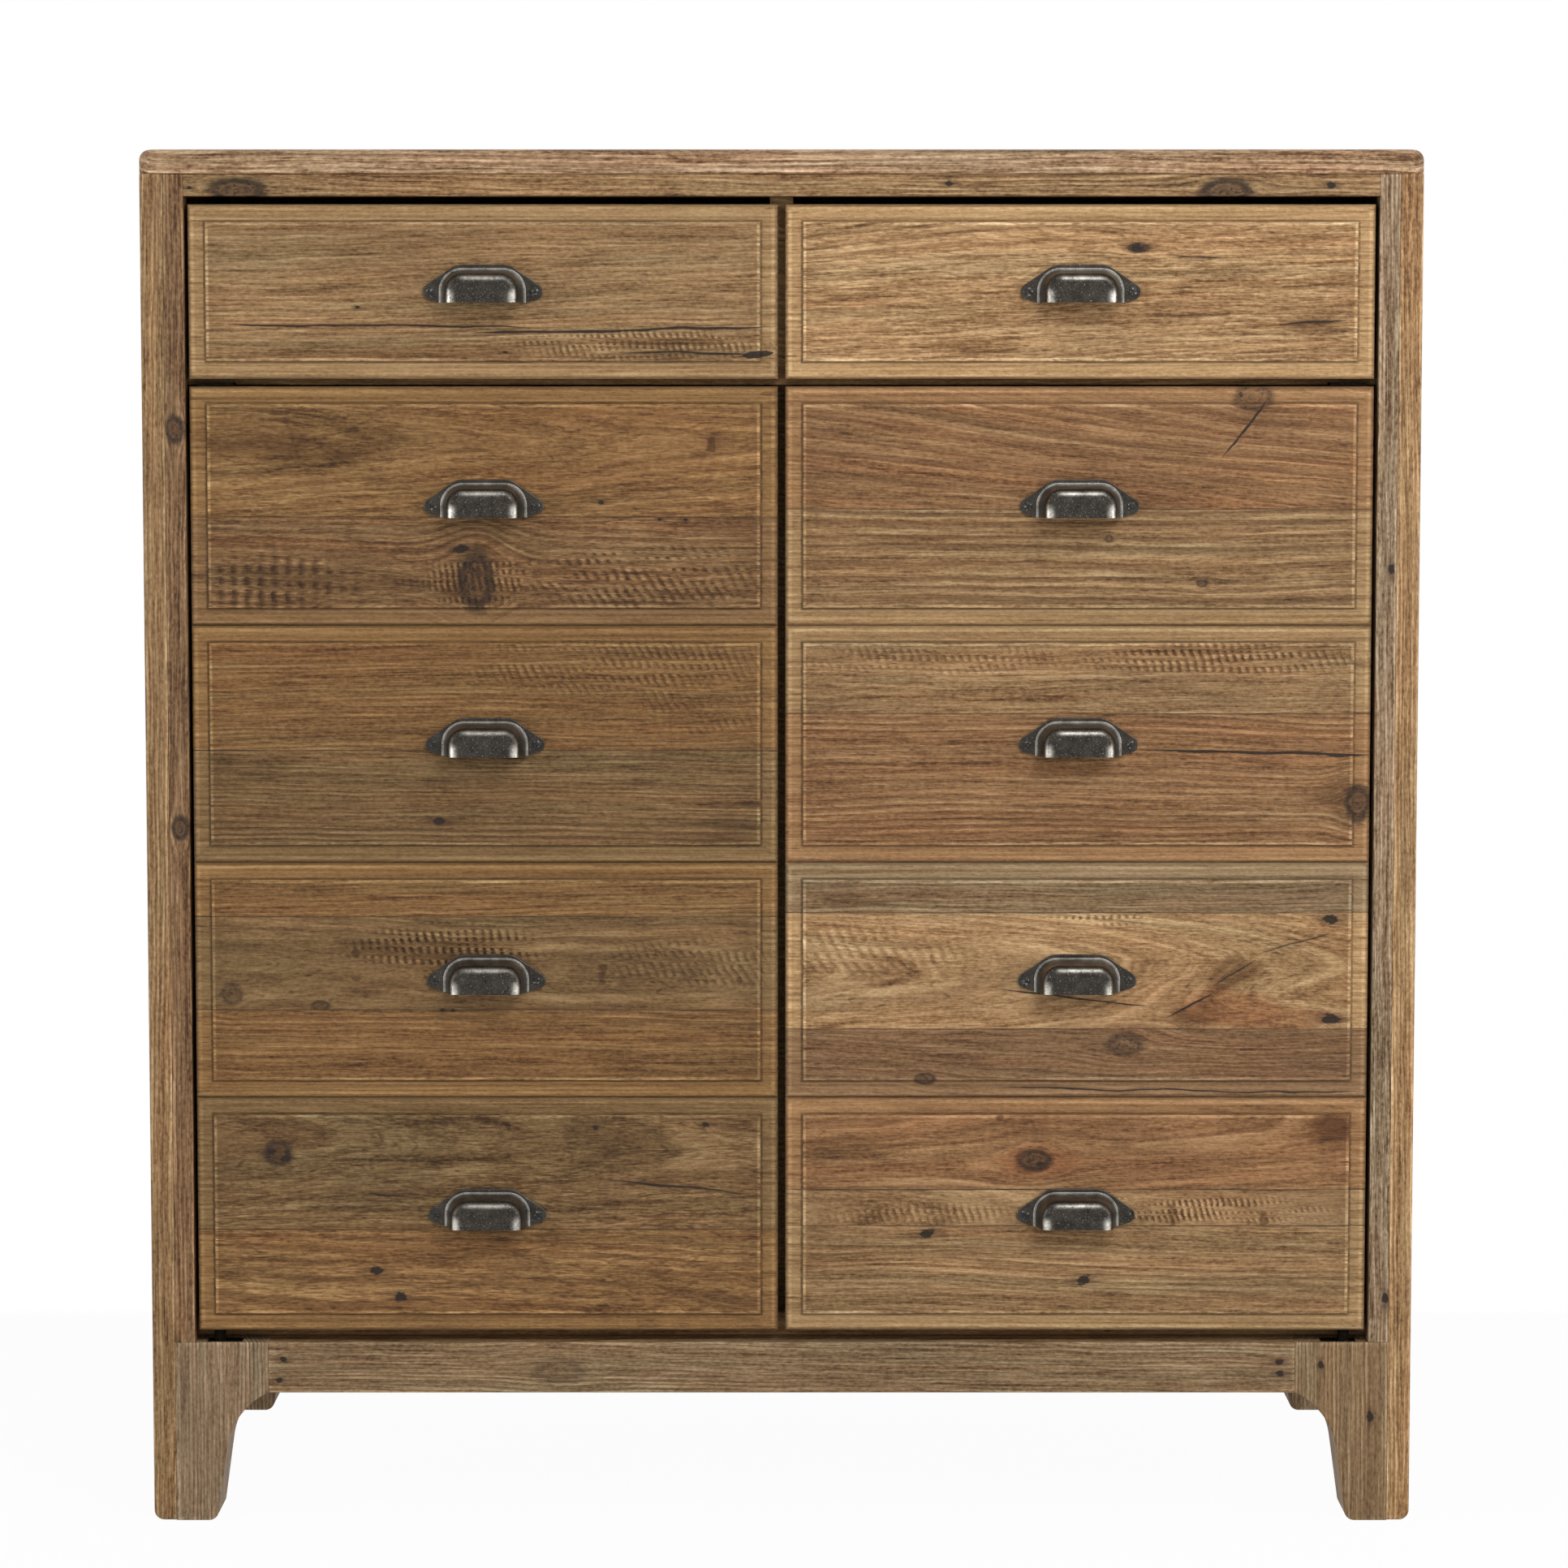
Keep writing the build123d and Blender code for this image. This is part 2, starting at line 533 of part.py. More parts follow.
# Doors: backing panel, four false fronts, their pulls and screws, and the pivot leaves
for name, side in SIDES.items():
    door = name + "_door_"
    axis = (side * PIVOT_X, FRONT + PIVOT_Y)
    leaf_x = across(side, LEAF_X[0], FRONT_X[1])
    leaf_zs = ((DOOR_Z[0], DOOR_Z[0] + LEAF_THICK), (DOOR_Z[1] - LEAF_THICK, DOOR_Z[1]))
    mortises = [(leaf_x, deep(*LEAF_Y), z) for z in leaf_zs]
    bores = [
        (*axis, PIN_CLEAR_R, (DOOR_Z[0], PIN_ENDS[0] + PIN_CLEAR)),
        (*axis, PIN_CLEAR_R, (PIN_ENDS[1] - PIN_CLEAR, DOOR_Z[1])),
    ]
    with BuildPart() as door_panel:
        panel_x = across(side, *FRONT_X)
        with BuildSketch(Plane.XY.offset(DOOR_Z[0])):
            with Locations(((panel_x[0] + panel_x[1]) / 2, FRONT + (FACE_THICK + FRAME_THICK) / 2)):
                Rectangle(panel_x[1] - panel_x[0], FRAME_THICK - FACE_THICK)
        extrude(amount=DOOR_Z[1] - DOOR_Z[0])
        cut_boxes(mortises)
        cut_bores(bores)
    save(door_panel.part, door + "panel")
    centres = []
    for row in range(ROWS):
        row_z = (DOOR_Z[1] - (row + 1) * ROW_HIGH, DOOR_Z[1] - row * ROW_HIGH)
        centres.append((row_z[0] + row_z[1]) / 2)
        cuts = {0: (mortises[1:], bores[1:]), ROWS - 1: (mortises[:1], bores[:1])}.get(row, ((), ()))
        routed_front(door + "front_" + str(row + 1), side, row_z, FACE_THICK, *cuts)
    pull_names = [door + "pull_" + str(row + 1) for row in range(ROWS)]
    pulls_and_screws(pull_names, side * FRONT_MID, centres, door + "pull_screws")
    with BuildPart() as pivot_leaves:
        for z in leaf_zs:
            y = deep(*LEAF_Y)
            with BuildSketch(Plane.XY.offset(z[0])):
                with Locations(((leaf_x[0] + leaf_x[1]) / 2, (y[0] + y[1]) / 2)):
                    Rectangle(leaf_x[1] - leaf_x[0], y[1] - y[0])
                with Locations(axis):
                    Circle(LEAF_HOLE_R, mode=Mode.SUBTRACT)
            extrude(amount=z[1] - z[0])
    save(pivot_leaves.part, door + "pivot_leaves")
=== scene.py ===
"""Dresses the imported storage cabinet: old pine boards, cast cup pulls, dark steel, and a pale studio."""

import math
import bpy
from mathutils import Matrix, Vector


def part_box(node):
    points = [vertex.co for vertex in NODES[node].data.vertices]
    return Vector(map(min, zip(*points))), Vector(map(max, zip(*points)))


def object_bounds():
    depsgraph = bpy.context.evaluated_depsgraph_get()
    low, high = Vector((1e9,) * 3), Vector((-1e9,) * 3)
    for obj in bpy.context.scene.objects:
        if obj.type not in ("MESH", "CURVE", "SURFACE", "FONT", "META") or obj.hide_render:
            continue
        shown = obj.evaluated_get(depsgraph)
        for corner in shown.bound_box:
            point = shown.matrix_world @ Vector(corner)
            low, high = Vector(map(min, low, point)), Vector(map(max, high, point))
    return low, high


bl_info = {
    "name": "Old pine cabinet",
    "version": (1, 0, 0),
    "blender": (4, 5, 0),
    "location": "View3D > Sidebar > Cabinet",
    "description": "Gives the packed cabinet its old pine boards, cast pulls and studio",
    "category": "Object",
}

from collections import namedtuple

import bmesh
import bpy
from mathutils import Vector

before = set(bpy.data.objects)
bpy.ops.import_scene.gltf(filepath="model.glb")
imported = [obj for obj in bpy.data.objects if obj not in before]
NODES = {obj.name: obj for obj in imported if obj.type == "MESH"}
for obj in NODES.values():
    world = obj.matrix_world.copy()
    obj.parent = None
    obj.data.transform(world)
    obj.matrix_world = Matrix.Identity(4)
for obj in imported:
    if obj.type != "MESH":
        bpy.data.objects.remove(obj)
CAD_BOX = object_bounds()

# Sizes and places are in millimetres, apart from those of the stage
MM = 0.001
# The plane of the fronts, and the width of the border routed round each of them
FRONT_Y = -214.0
BORDER = 13.5
# How far along the grain each next board of a piece, and each next piece, is cut from the log
BOARD_SHIFT = 1733.0
PIECE_SHIFT = 531.0
# Dyes that a board's tone is multiplied by
RUDDY = (1.09, 0.96, 0.86)
MOSSY = (0.92, 0.985, 0.95)
LATE_RING = (0.54, 0.47, 0.40)
GRUBBY = (0.45, 0.40, 0.34)
RESIN = (0.76, 0.56, 0.46)
CLEAN = (1.02, 1.0, 0.9)
# Noise in the grain: how fast it changes along the grain and across it, its detail and its roughness
SLOW = (0.0021, 0.008, 1.0, 0.5)
QUICK = (0.011, 0.045, 2.0, 0.5)
FIBRE = (0.06, 0.9, 2.0, 0.6)
GRIT = (0.22, 0.42, 2.0, 0.65)
ROUGH = (0.04, 0.16, 4.0, 0.65)
CLOUD = (0.006, 0.016, 2.0, 0.5)
CREASE = (0.014, 0.11, 3.0, 0.6)
LINES = (0.0025, 0.4, 2.0, 0.5)
# Noise that follows the rings: how fast it changes along and outward, its layer, detail and roughness
BAND = (0.0022, 0.06, 0.0, 2.0, 0.5)
STREAK = (0.005, 0.2, 9.0, 2.0, 0.5)
FINE = (0.014, 0.55, 4.0, 2.0, 0.6)
FLECK = (0.08, 0.8, 2.0, 1.0, 0.5)
HUE = (0.004, 0.09, 20.0, 2.0, 0.5)
# How strong the figure of the fronts is, how waxy boards look, and how far in from an arris they are worn
FRONT_CONTRAST = 1.4
WAX_SHINE = 0.25
WORN_ARRIS = (0.8, 3.6)
# Soft edge of a front's border, and where the painted shade with grime in its groove, the painted highlight
# on its step and the painted highlight on its lip lie, counted in from the edge
BORDER_STEP = (BORDER - 0.4, BORDER + 0.3)
GROOVE_SHADE_AT = BORDER - 0.7
STEP_HIGHLIGHT_AT = BORDER + 1.5
LIP_HIGHLIGHT_AT = 3.8
# How far dust lies inside the border
DUST_REACH = 26.0
# Length and height of a nail's hole and of its rusty halo, as shares of its size
NAIL_HOLE = (2.2, 1.5)
NAIL_HALO = (9.0, 2.6)
# Over what length a crack thins out at each end, at most
CRACK_TAPER = 40.0
# Painted highlights of a pull, which also read as rubbed metal: how far out and how wide those on the flanks
# are, how high up and how tall the one on the crown is
PULL_FLANK_HIGHLIGHT = (24.0, 2.5)
PULL_CROWN_HIGHLIGHT = (18.8, 1.4)
# Where the painted highlights on a pull's bead and on its plate's rim start, are full, fade and end, counted
# out from the front
PULL_BEAD_HIGHLIGHT = (2.5, 3.0, 3.5, 4.1)
PULL_RIM_HIGHLIGHT = (0.9, 1.6, 1.9, 2.15)
# Depth of the fine skin on metal, in metres
SKIN_RELIEF = 0.0001
# How far from the cabinet the floor fades to plain white, and half the floor's width in metres
SHADOW_REACH = 420.0
FLOOR_HALF = 30.0
FLOOR_GREY = (0.8, 0.8, 0.8, 1.0)
WHITE = (1.0, 1.0, 1.0, 1.0)
# Width of the camera's sensor
SENSOR_WIDTH = 36.0

# A glued board: its upper edge, tone, height and depth of the log's heart, width of the rings,
# slope of the grain, how far the grain wanders and how strong its dark late rings are
Board = namedtuple("Board", "top tone heart deep ring slope wave late")
# Marks on a board: knots, swirls, nail holes, cracks, saw-marked patches, stains and how chipped it is.
# A mark gives its place along and across the grain, its length and height, and its strength.
# Saw marks add their pitch and slant before the strength, and a nail hole has one size alone.
# A crack gives where it starts and ends along the grain, its place across it, its slope and thickness
NO_MARKS = ((), (), (), (), (), (), 0.0)
Marks = namedtuple("Marks", "knots swirls nails cracks saws stains chips", defaults=NO_MARKS)
# A soft lamp, in metres: its place, what it is aimed at, its width and the setting that holds its power
Lamp = namedtuple("Lamp", "name place aim width power")

LAMPS = (
    Lamp("key_lamp", (1.3, -2.6, 2.7), (0.0, 0.0, 0.6), 1.6, "key"),
    Lamp("left_lamp", (-2.6, -1.5, 1.0), (0.0, FRONT_Y * MM, 0.6), 1.3, "sides"),
    Lamp("right_lamp", (2.6, -1.5, 1.0), (0.0, FRONT_Y * MM, 0.6), 1.3, "sides"),
)


def tint(red, green, blue):
    """A colour written as it looks on screen, as the linear one that shaders use."""

    def linear(level):
        part = level / 255.0
        return part / 12.92 if part <= 0.04045 else ((part + 0.055) / 1.055) ** 2.4

    return (linear(red), linear(green), linear(blue))


class CabinetTimber(bpy.types.PropertyGroup):
    """Colours and grain of the boards."""

    honey: bpy.props.FloatVectorProperty(
        name="Honey", description="Palest old boards", subtype="COLOR", default=tint(160, 125, 87)
    )
    tan: bpy.props.FloatVectorProperty(
        name="Tan", description="Light brown boards", subtype="COLOR", default=tint(143, 112, 77)
    )
    fox: bpy.props.FloatVectorProperty(
        name="Fox", description="Reddish boards", subtype="COLOR", default=tint(138, 101, 67)
    )
    umber: bpy.props.FloatVectorProperty(
        name="Umber", description="Mid-brown boards", subtype="COLOR", default=tint(123, 90, 54)
    )
    bark: bpy.props.FloatVectorProperty(
        name="Bark", description="Dark brown boards", subtype="COLOR", default=tint(116, 85, 54)
    )
    olive: bpy.props.FloatVectorProperty(
        name="Olive", description="Greenish brown boards", subtype="COLOR", default=tint(115, 88, 56)
    )
    ash: bpy.props.FloatVectorProperty(
        name="Ash", description="Weathered grey-brown boards", subtype="COLOR", default=tint(132, 107, 78)
    )
    chalk: bpy.props.FloatVectorProperty(
        name="Chalk", description="Pale edge of the top", subtype="COLOR", default=tint(160, 128, 98)
    )
    drift: bpy.props.FloatVectorProperty(
        name="Drift", description="Pale grey-brown frame boards", subtype="COLOR", default=tint(140, 117, 92)
    )
    plum: bpy.props.FloatVectorProperty(
        name="Plum", description="Purple-brown boards", subtype="COLOR", default=tint(124, 93, 64)
    )
    bare: bpy.props.FloatVectorProperty(
        name="Bare", description="Plain boards inside", subtype="COLOR", default=tint(176, 140, 98)
    )
    crack: bpy.props.FloatVectorProperty(
        name="Crack", description="Cracks, nail holes and grime", subtype="COLOR", default=tint(36, 26, 18)
    )
    knot: bpy.props.FloatVectorProperty(
        name="Knot", description="Middle of a knot", subtype="COLOR", default=tint(72, 48, 31)
    )
    relief: bpy.props.FloatProperty(
        name="Relief", description="Depth of the raised grain", default=0.0008, unit="LENGTH", precision=4
    )
    roughness: bpy.props.FloatProperty(
        name="Roughness",
        description="Gloss of the waxed boards",
        default=0.58,
        min=0.0,
        max=1.0,
        subtype="FACTOR",
    )


class CabinetIron(bpy.types.PropertyGroup):
    """Colours of the pulls, screws, pivots and catches."""

    cast: bpy.props.FloatVectorProperty(
        name="Cast iron", description="Dark skin of the pulls", subtype="COLOR", default=tint(62, 58, 53)
    )
    # Colour of the painted highlights on the pulls, which also read as rubbed metal, and of the worn spots on
    # the screws
    worn_and_highlight: bpy.props.FloatVectorProperty(
        name="Worn iron", description="Rubbed spots on pulls", subtype="COLOR", default=tint(218, 213, 203)
    )
    screw: bpy.props.FloatVectorProperty(
        name="Screws", description="Blackened screws", subtype="COLOR", default=tint(58, 56, 54)
    )
    # Near-black matt steel of the pivot leaves, brackets and pins: painted shade that stands in for the dark
    # gaps they sit in, also read as blackened steel
    steel: bpy.props.FloatVectorProperty(
        name="Steel", description="Blacked pivot leaves and pins", subtype="COLOR", default=tint(20, 17, 14)
    )
    catch: bpy.props.FloatVectorProperty(
        name="Catch", description="Catch blocks", subtype="COLOR", default=tint(42, 40, 38)
    )


class CabinetStage(bpy.types.PropertyGroup):
    """Camera, lamps and backdrop."""

    eye_side: bpy.props.FloatProperty(
        name="Eye side", description="Camera right of the middle", default=0.0019, unit="LENGTH", precision=4
    )
    eye_height: bpy.props.FloatProperty(
        name="Eye height", description="Camera above the floor", default=0.89, unit="LENGTH"
    )
    eye_distance: bpy.props.FloatProperty(
        name="Eye distance", description="Camera in front of the fronts", default=3.6, unit="LENGTH"
    )
    eye_pitch: bpy.props.FloatProperty(
        name="Eye pitch", description="Camera looks down by this", default=math.radians(4.8), subtype="ANGLE"
    )
    lens: bpy.props.FloatProperty(name="Lens", description="Focal length", default=105.7, unit="CAMERA")
    key: bpy.props.FloatProperty(
        name="Key lamp", description="Soft lamp above right", default=49.0, unit="POWER"
    )
    sides: bpy.props.FloatProperty(
        name="Side lamps", description="Soft lamps at both sides", default=20.5, unit="POWER"
    )
    air: bpy.props.FloatProperty(name="Air", description="Light from all around", default=0.4, min=0.0)
    floor_glow: bpy.props.FloatProperty(
        name="Floor glow",
        description="Share of plain white that the camera sees in the floor",
        default=0.965,
        min=0.0,
        max=1.0,
        subtype="FACTOR",
    )


class Value:
    """A socket in a material. Arithmetic on it adds Math nodes."""

    def __init__(self, sheet, socket):
        self.sheet = sheet
        self.socket = socket

    def maths(self, operation, *others, clamp=False):
        settings = {"operation": operation, "use_clamp": clamp}
        return self.sheet.add("ShaderNodeMath", settings, dict(enumerate((self, *others))))

    def __add__(self, other):
        return self.maths("ADD", other)

    __radd__ = __add__

    def __sub__(self, other):
        return self.maths("SUBTRACT", other)

    def __rsub__(self, other):
        return self.maths("MULTIPLY_ADD", -1.0, other)

    def __mul__(self, other):
        return self.maths("MULTIPLY", other)

    __rmul__ = __mul__

    def __truediv__(self, other):
        return self.maths("DIVIDE", other)

    def __pow__(self, other):
        return self.maths("POWER", other)

    def __lt__(self, other):
        return self.maths("LESS_THAN", other)

    def __abs__(self):
        return self.maths("ABSOLUTE")

    def at_least(self, other):
        return self.maths("MAXIMUM", other)

    def at_most(self, other):
        return self.maths("MINIMUM", other)

    def share(self):
        """Kept from nought to one."""
        return self.maths("ADD", 0.0, clamp=True)

    def bell(self):
        """One at nought, falling away on both sides."""
        return (self * self * -1.0).maths("EXPONENT")


class Sheet:
    """The nodes of one material or world, built from a few calls."""

    def __init__(self, owner):
        self.owner = owner
        owner.use_nodes = True
        self.tree = owner.node_tree
        self.tree.nodes.clear()

    def add(self, kind, settings=None, inputs=None, out=0):
        """Add a node: its settings first, then the values or links of its sockets."""
        node = self.tree.nodes.new(kind)
        for key, value in (settings or {}).items():
            setattr(node, key, value)
        for key, value in (inputs or {}).items():
            if isinstance(value, Value):
                self.tree.links.new(value.socket, node.inputs[key])
            else:
                node.inputs[key].default_value = value
        return Value(self, node.outputs[out]) if node.outputs else None

    def axes(self):
        """The three object coordinates in millimetres."""
        place = self.add("ShaderNodeTexCoord", out="Object")
        scaled = self.add("ShaderNodeVectorMath", {"operation": "SCALE"}, {0: place, 3: 1 / MM})
        split = self.add("ShaderNodeSeparateXYZ", None, {0: scaled})
        return [Value(self, socket) for socket in split.socket.node.outputs]

    def noise(self, x, y, z, detail=1.0, rough=0.5):
        """Cloudy noise about zero, from minus a half to a half."""
        vector = self.add("ShaderNodeCombineXYZ", None, {0: x, 1: y, 2: z})
        inputs = {"Vector": vector, "Scale": 1.0, "Detail": detail, "Roughness": rough}
        return self.add("ShaderNodeTexNoise", {"noise_dimensions": "3D"}, inputs) - 0.5

    def mottle(self, axes, scale, detail, rough=0.5):
        """Noise that is alike in every direction."""
        x, y, z = axes
        return self.noise(x * scale, y * scale, z * scale, detail, rough)

    def ramp(self, value, low, high):
        """A smooth step from nought at low to one at high."""
        inputs = {0: value, 1: low, 2: high, 3: 0.0, 4: 1.0}
        return self.add("ShaderNodeMapRange", {"interpolation_type": "SMOOTHSTEP"}, inputs)

    def fade(self, value, full, gone):
        """A smooth step from one at full down to nought at gone."""
        return 1 - self.ramp(value, full, gone)

    def hump(self, value, start, full, fading, end):
        """A smooth rise from start to full, and a fall from fading to end."""
        return self.ramp(value, start, full) * self.fade(value, fading, end)

    def mix(self, share, first, second, blend="MIX"):
        """A mix of two colours."""
        inputs = {0: share, 6: self.colour(first), 7: self.colour(second)}
        return self.add("ShaderNodeMix", {"data_type": "RGBA", "blend_type": blend}, inputs, 2)

    def dyed(self, colour, dye):
        """A colour multiplied by another."""
        return self.mix(1.0, colour, dye, "MULTIPLY")

    def scaled(self, colour, share):
        """A colour made darker or lighter."""
        colour = colour if isinstance(colour, Value) else colour[:3]
        return self.add("ShaderNodeVectorMath", {"operation": "SCALE"}, {0: colour, 3: share})

    def warmed(self, colour, share):
        """A colour made darker and warmer, or lighter and paler."""
        parts = self.add("ShaderNodeCombineXYZ", None, {0: share, 1: share ** 1.2, 2: share ** 1.45})
        return self.add("ShaderNodeVectorMath", {"operation": "MULTIPLY"}, {0: colour, 1: parts})

    def colour(self, value):
        return value if isinstance(value, Value) else (*value[:3], 1.0)

    def finish(self, colour, roughness, height, relief, metallic=0.0, specular=0.5):
        """The surface itself, with its relief."""
        bump = self.add("ShaderNodeBump", None, {"Strength": 1.0, "Distance": relief, "Height": height})
        inputs = {
            "Base Color": self.colour(colour),
            "Roughness": roughness,
            "Metallic": metallic,
            "Specular IOR Level": specular,
            "Normal": bump,
        }
        shader = self.add("ShaderNodeBsdfPrincipled", None, inputs)
        self.add("ShaderNodeOutputMaterial", None, {"Surface": shader})
        return self.owner


class OldPine(Sheet):
    """Boards of old pine. Lay names the axes along the grain, across it and into the board."""

    def __init__(self, name, lay, boards, marks=Marks(), seed=0.0, face=None, contrast=1.0, edges=None):
        super().__init__(bpy.data.materials.new(name))
        self.timber = bpy.context.scene.cabinet_timber
        self.boards = boards
        self.marks = marks
        self.seed = seed
        self.face = face
        self.contrast = contrast
        self.edges = edges
        self.xyz = self.axes()
        self.along, self.across, self.into = (self.xyz["XYZ".index(axis)] for axis in lay)
        self.wander = self.noise(self.along * 0.012, seed + 3.1, 0.0, 2.0)
        self.masks = [self.across + self.wander * 1.2 < board.top for board in boards[1:]]
        self.shifted = sum((mask * BOARD_SHIFT for mask in self.masks), self.along + seed * PIECE_SHIFT)
        self.grime = None

    def each(self, field):
        """A field of the boards, switched from board to board at the glue lines."""
        values = [getattr(board, field) for board in self.boards]
        result = values[0]
        for mask, before, after in zip(self.masks, values, values[1:]):
            if after != before:
                result = mask * (after - before) + result
        return result

    def cloud(self, along, across, detail, rough):
        """Noise that changes at one rate along the grain and at another across it."""
        return self.noise(self.shifted * along, self.across * across, self.into * across, detail, rough)

    def ringed(self, along, outward, layer, detail, rough):
        """Noise that follows the rings."""
        return self.noise(self.shifted * along, self.radius * outward, self.seed + layer, detail, rough)

    def oval(self, place, level, long, high):
        """How far a point is from the middle of an oval mark, 1 on its rim."""
        off_along = (self.along - place) * (1.0 / long)
        off_across = (self.across - level) * (1.0 / high)
        return (off_along * off_along + off_across * off_across).maths("SQRT")

    def soil(self, mask):
        """Add to what is filled with grime in the end."""
        self.grime = mask if self.grime is None else self.grime.at_least(mask)

    def lay_grain(self):
        """Rings round the heart of the log, drawn aside by knots, and noise that follows them."""
        bent = self.across
        for place, level, long, high, pull in [*self.marks.knots, *self.marks.swirls]:
            near = self.oval(place, level, long * 2.2, high * 2.0).bell()
            bent = bent + (level - self.across) * near * min(0.93, pull)
        self.quick = self.cloud(*QUICK)
        up = bent - self.each("heart")
        back = self.into - self.each("deep")
        radius = (up * up + back * back).maths("SQRT") + self.along * self.each("slope")
        self.radius = radius + self.cloud(*SLOW) * self.each("wave") + self.quick * 5.0
        self.band = self.ringed(*BAND)
        self.streak = self.ringed(*STREAK)
        self.fine = self.ringed(*FINE)
        self.fibre = self.cloud(*FIBRE)
        self.grit = self.cloud(*GRIT)
        self.rough = self.cloud(*ROUGH)
        self.height = self.fibre * 0.9 + self.grit + self.rough * 1.8

    def colour_grain(self):
        """Each board's tone with its late rings and grubby patches, and how light or dark it is."""
        turn = self.radius / self.each("ring") + self.noise(self.radius * 0.04, self.seed, 7.0) * 2.4
        late = self.hump(turn.maths("FRACT"), 0.2, 0.82, 0.88, 1.0)
        self.late = late * (self.band * 2.6 + self.streak * 1.5 + self.each("late")).at_least(0.04)
        tones = [getattr(self.timber, board.tone) for board in self.boards]
        self.base = self.colour(tones[0])
        for mask, tone in zip(self.masks, tones[1:]):
            self.base = self.mix(mask, self.base, tone)
        reddish = (self.ringed(*HUE) * 1.8 + 0.45).share()
        colour = self.mix(reddish, self.dyed(self.base, MOSSY), self.dyed(self.base, RUDDY))
        colour = self.mix((self.late * 0.85).at_most(1.0), colour, self.dyed(colour, LATE_RING))
        grubby = self.ramp(self.cloud(*CLOUD) + self.rough * 0.4 + self.streak * 0.3, 0.03, 0.2)
        self.tinted = self.mix(grubby * 0.28, colour, self.dyed(self.base, GRUBBY))

        fleck = self.ramp(self.ringed(*FLECK), 0.17, 0.26)
        hair = self.fade(abs(self.fine + self.streak * 0.6), 0.004, 0.03) * self.ramp(self.rough, -0.04, 0.12)
        shade = self.band * 0.7 + self.streak * 1.1 + self.fine * 1.5
        shade = shade + self.fibre + self.grit * 1.1 + self.rough * 0.8
        shade = (shade * self.contrast + 1.2).at_least(0.3)
        self.shade = shade * (1 - fleck * 0.45) * (1 - hair * 0.34)

    def chips(self):
        """Rippled, chipped relief, with painted shade in its creases and painted highlights beside them."""
        crease = abs(self.cloud(*CREASE))
        pale = self.hump(crease, 0.02, 0.05, 0.05, 0.12)
        line = self.fade(crease, 0.002, 0.03)
        self.shade = self.shade * ((pale * 0.4 - line * 0.5) * self.marks.chips + 1.0)
        self.height = self.height + crease * self.marks.chips * 6.0

    def swirls(self):
        """Reddish patches of resin where the grain curls."""
        for place, level, long, high, strength in self.marks.swirls:
            far = self.oval(place, level, long, high) + self.rough * 1.2 + self.streak
            patch = self.fade(far, 0.5, 1.1) * strength
            self.tinted = self.mix(patch * 0.9, self.tinted, self.dyed(self.base, RESIN))

    def saw_marks(self):
        """Patches of short strokes across the grain, in broken rows."""
        for place, level, long, high, pitch, slant, strength in self.marks.saws:
            patch = self.fade(self.oval(place, level, long, high) + self.rough * 1.4, 0.6, 1.05)
            teeth = (self.along + self.across * slant + self.quick * 5.0) * (1.0 / pitch)
            part = (teeth + self.rough * 0.8).maths("FRACT")
            rows = self.noise(self.along * 0.014, self.across * 0.22, self.seed + 5.0)
            sawn = self.ramp(rows, -0.08, 0.05) * patch * strength
            uneven = (self.rough * 2.4 + self.grit * 1.4 + 0.7).at_least(0.0)
            stroke = self.hump(part, 0.0, 0.18, 0.25, 0.55) * uneven * sawn
            lip = self.hump(part, 0.5, 0.7, 0.75, 1.0) * sawn
            self.shade = self.shade * (1 - stroke.at_most(1.3) * 0.62) * (lip * 0.3 + 1.0)
            self.height = self.height - stroke * 1.6

    def stains(self):
        """Dark patches that leave the grain showing."""
        for place, level, long, high, strength in self.marks.stains:
            far = self.oval(place, level, long, high) + self.rough * 1.1 + self.streak * 1.8
            self.shade = self.shade * (1 - self.fade(far, 0.2, 1.0) * strength)

    def knots(self):
        """Dark discs with a darker, broken rim."""
        for place, level, long, high, depth in self.marks.knots:
            own = self.oval(place, level, long, high) + self.rough * 1.2 + self.quick * 0.7
            disc = self.fade(own, 0.7, 1.2) * min(1.0, depth)
            rim = self.hump(own, 0.55, 0.9, 0.95, 1.4) * depth * (self.rough * 2.0 + 0.75)
            split = self.noise(self.along * 0.3, self.across * 0.3, self.seed, 2.0)
            check = self.ramp(split, 0.06, 0.16) * disc
            ring = self.ramp(abs((own * 2.6).maths("FRACT") - 0.5), 0.1, 0.4) * 0.4
            heart = self.mix(0.75, self.base, self.timber.knot)
            heart = self.scaled(heart, self.rough * 1.8 + self.grit * 1.2 + 1.1 - ring)
            colour = self.mix(disc * 0.9, self.tinted, heart)
            dirty = (rim * 0.95 + check * 0.85).at_most(0.92).at_least(0.0)
            self.tinted = self.mix(dirty, colour, self.timber.crack)

    def nails(self):
        """Nail holes with a rusty halo drawn out along the grain."""
        for place, level, size in self.marks.nails:
            halo = self.oval(place, level, *(size * share for share in NAIL_HALO)) + self.rough * 1.4
            self.tinted = self.mix(self.fade(halo, 0.1, 1.0) * 0.7, self.tinted, self.timber.knot)
            hole = self.oval(place, level, *(size * share for share in NAIL_HOLE))
            self.soil(self.fade(hole + self.rough * 2.4 + self.grit, 0.75, 1.15))

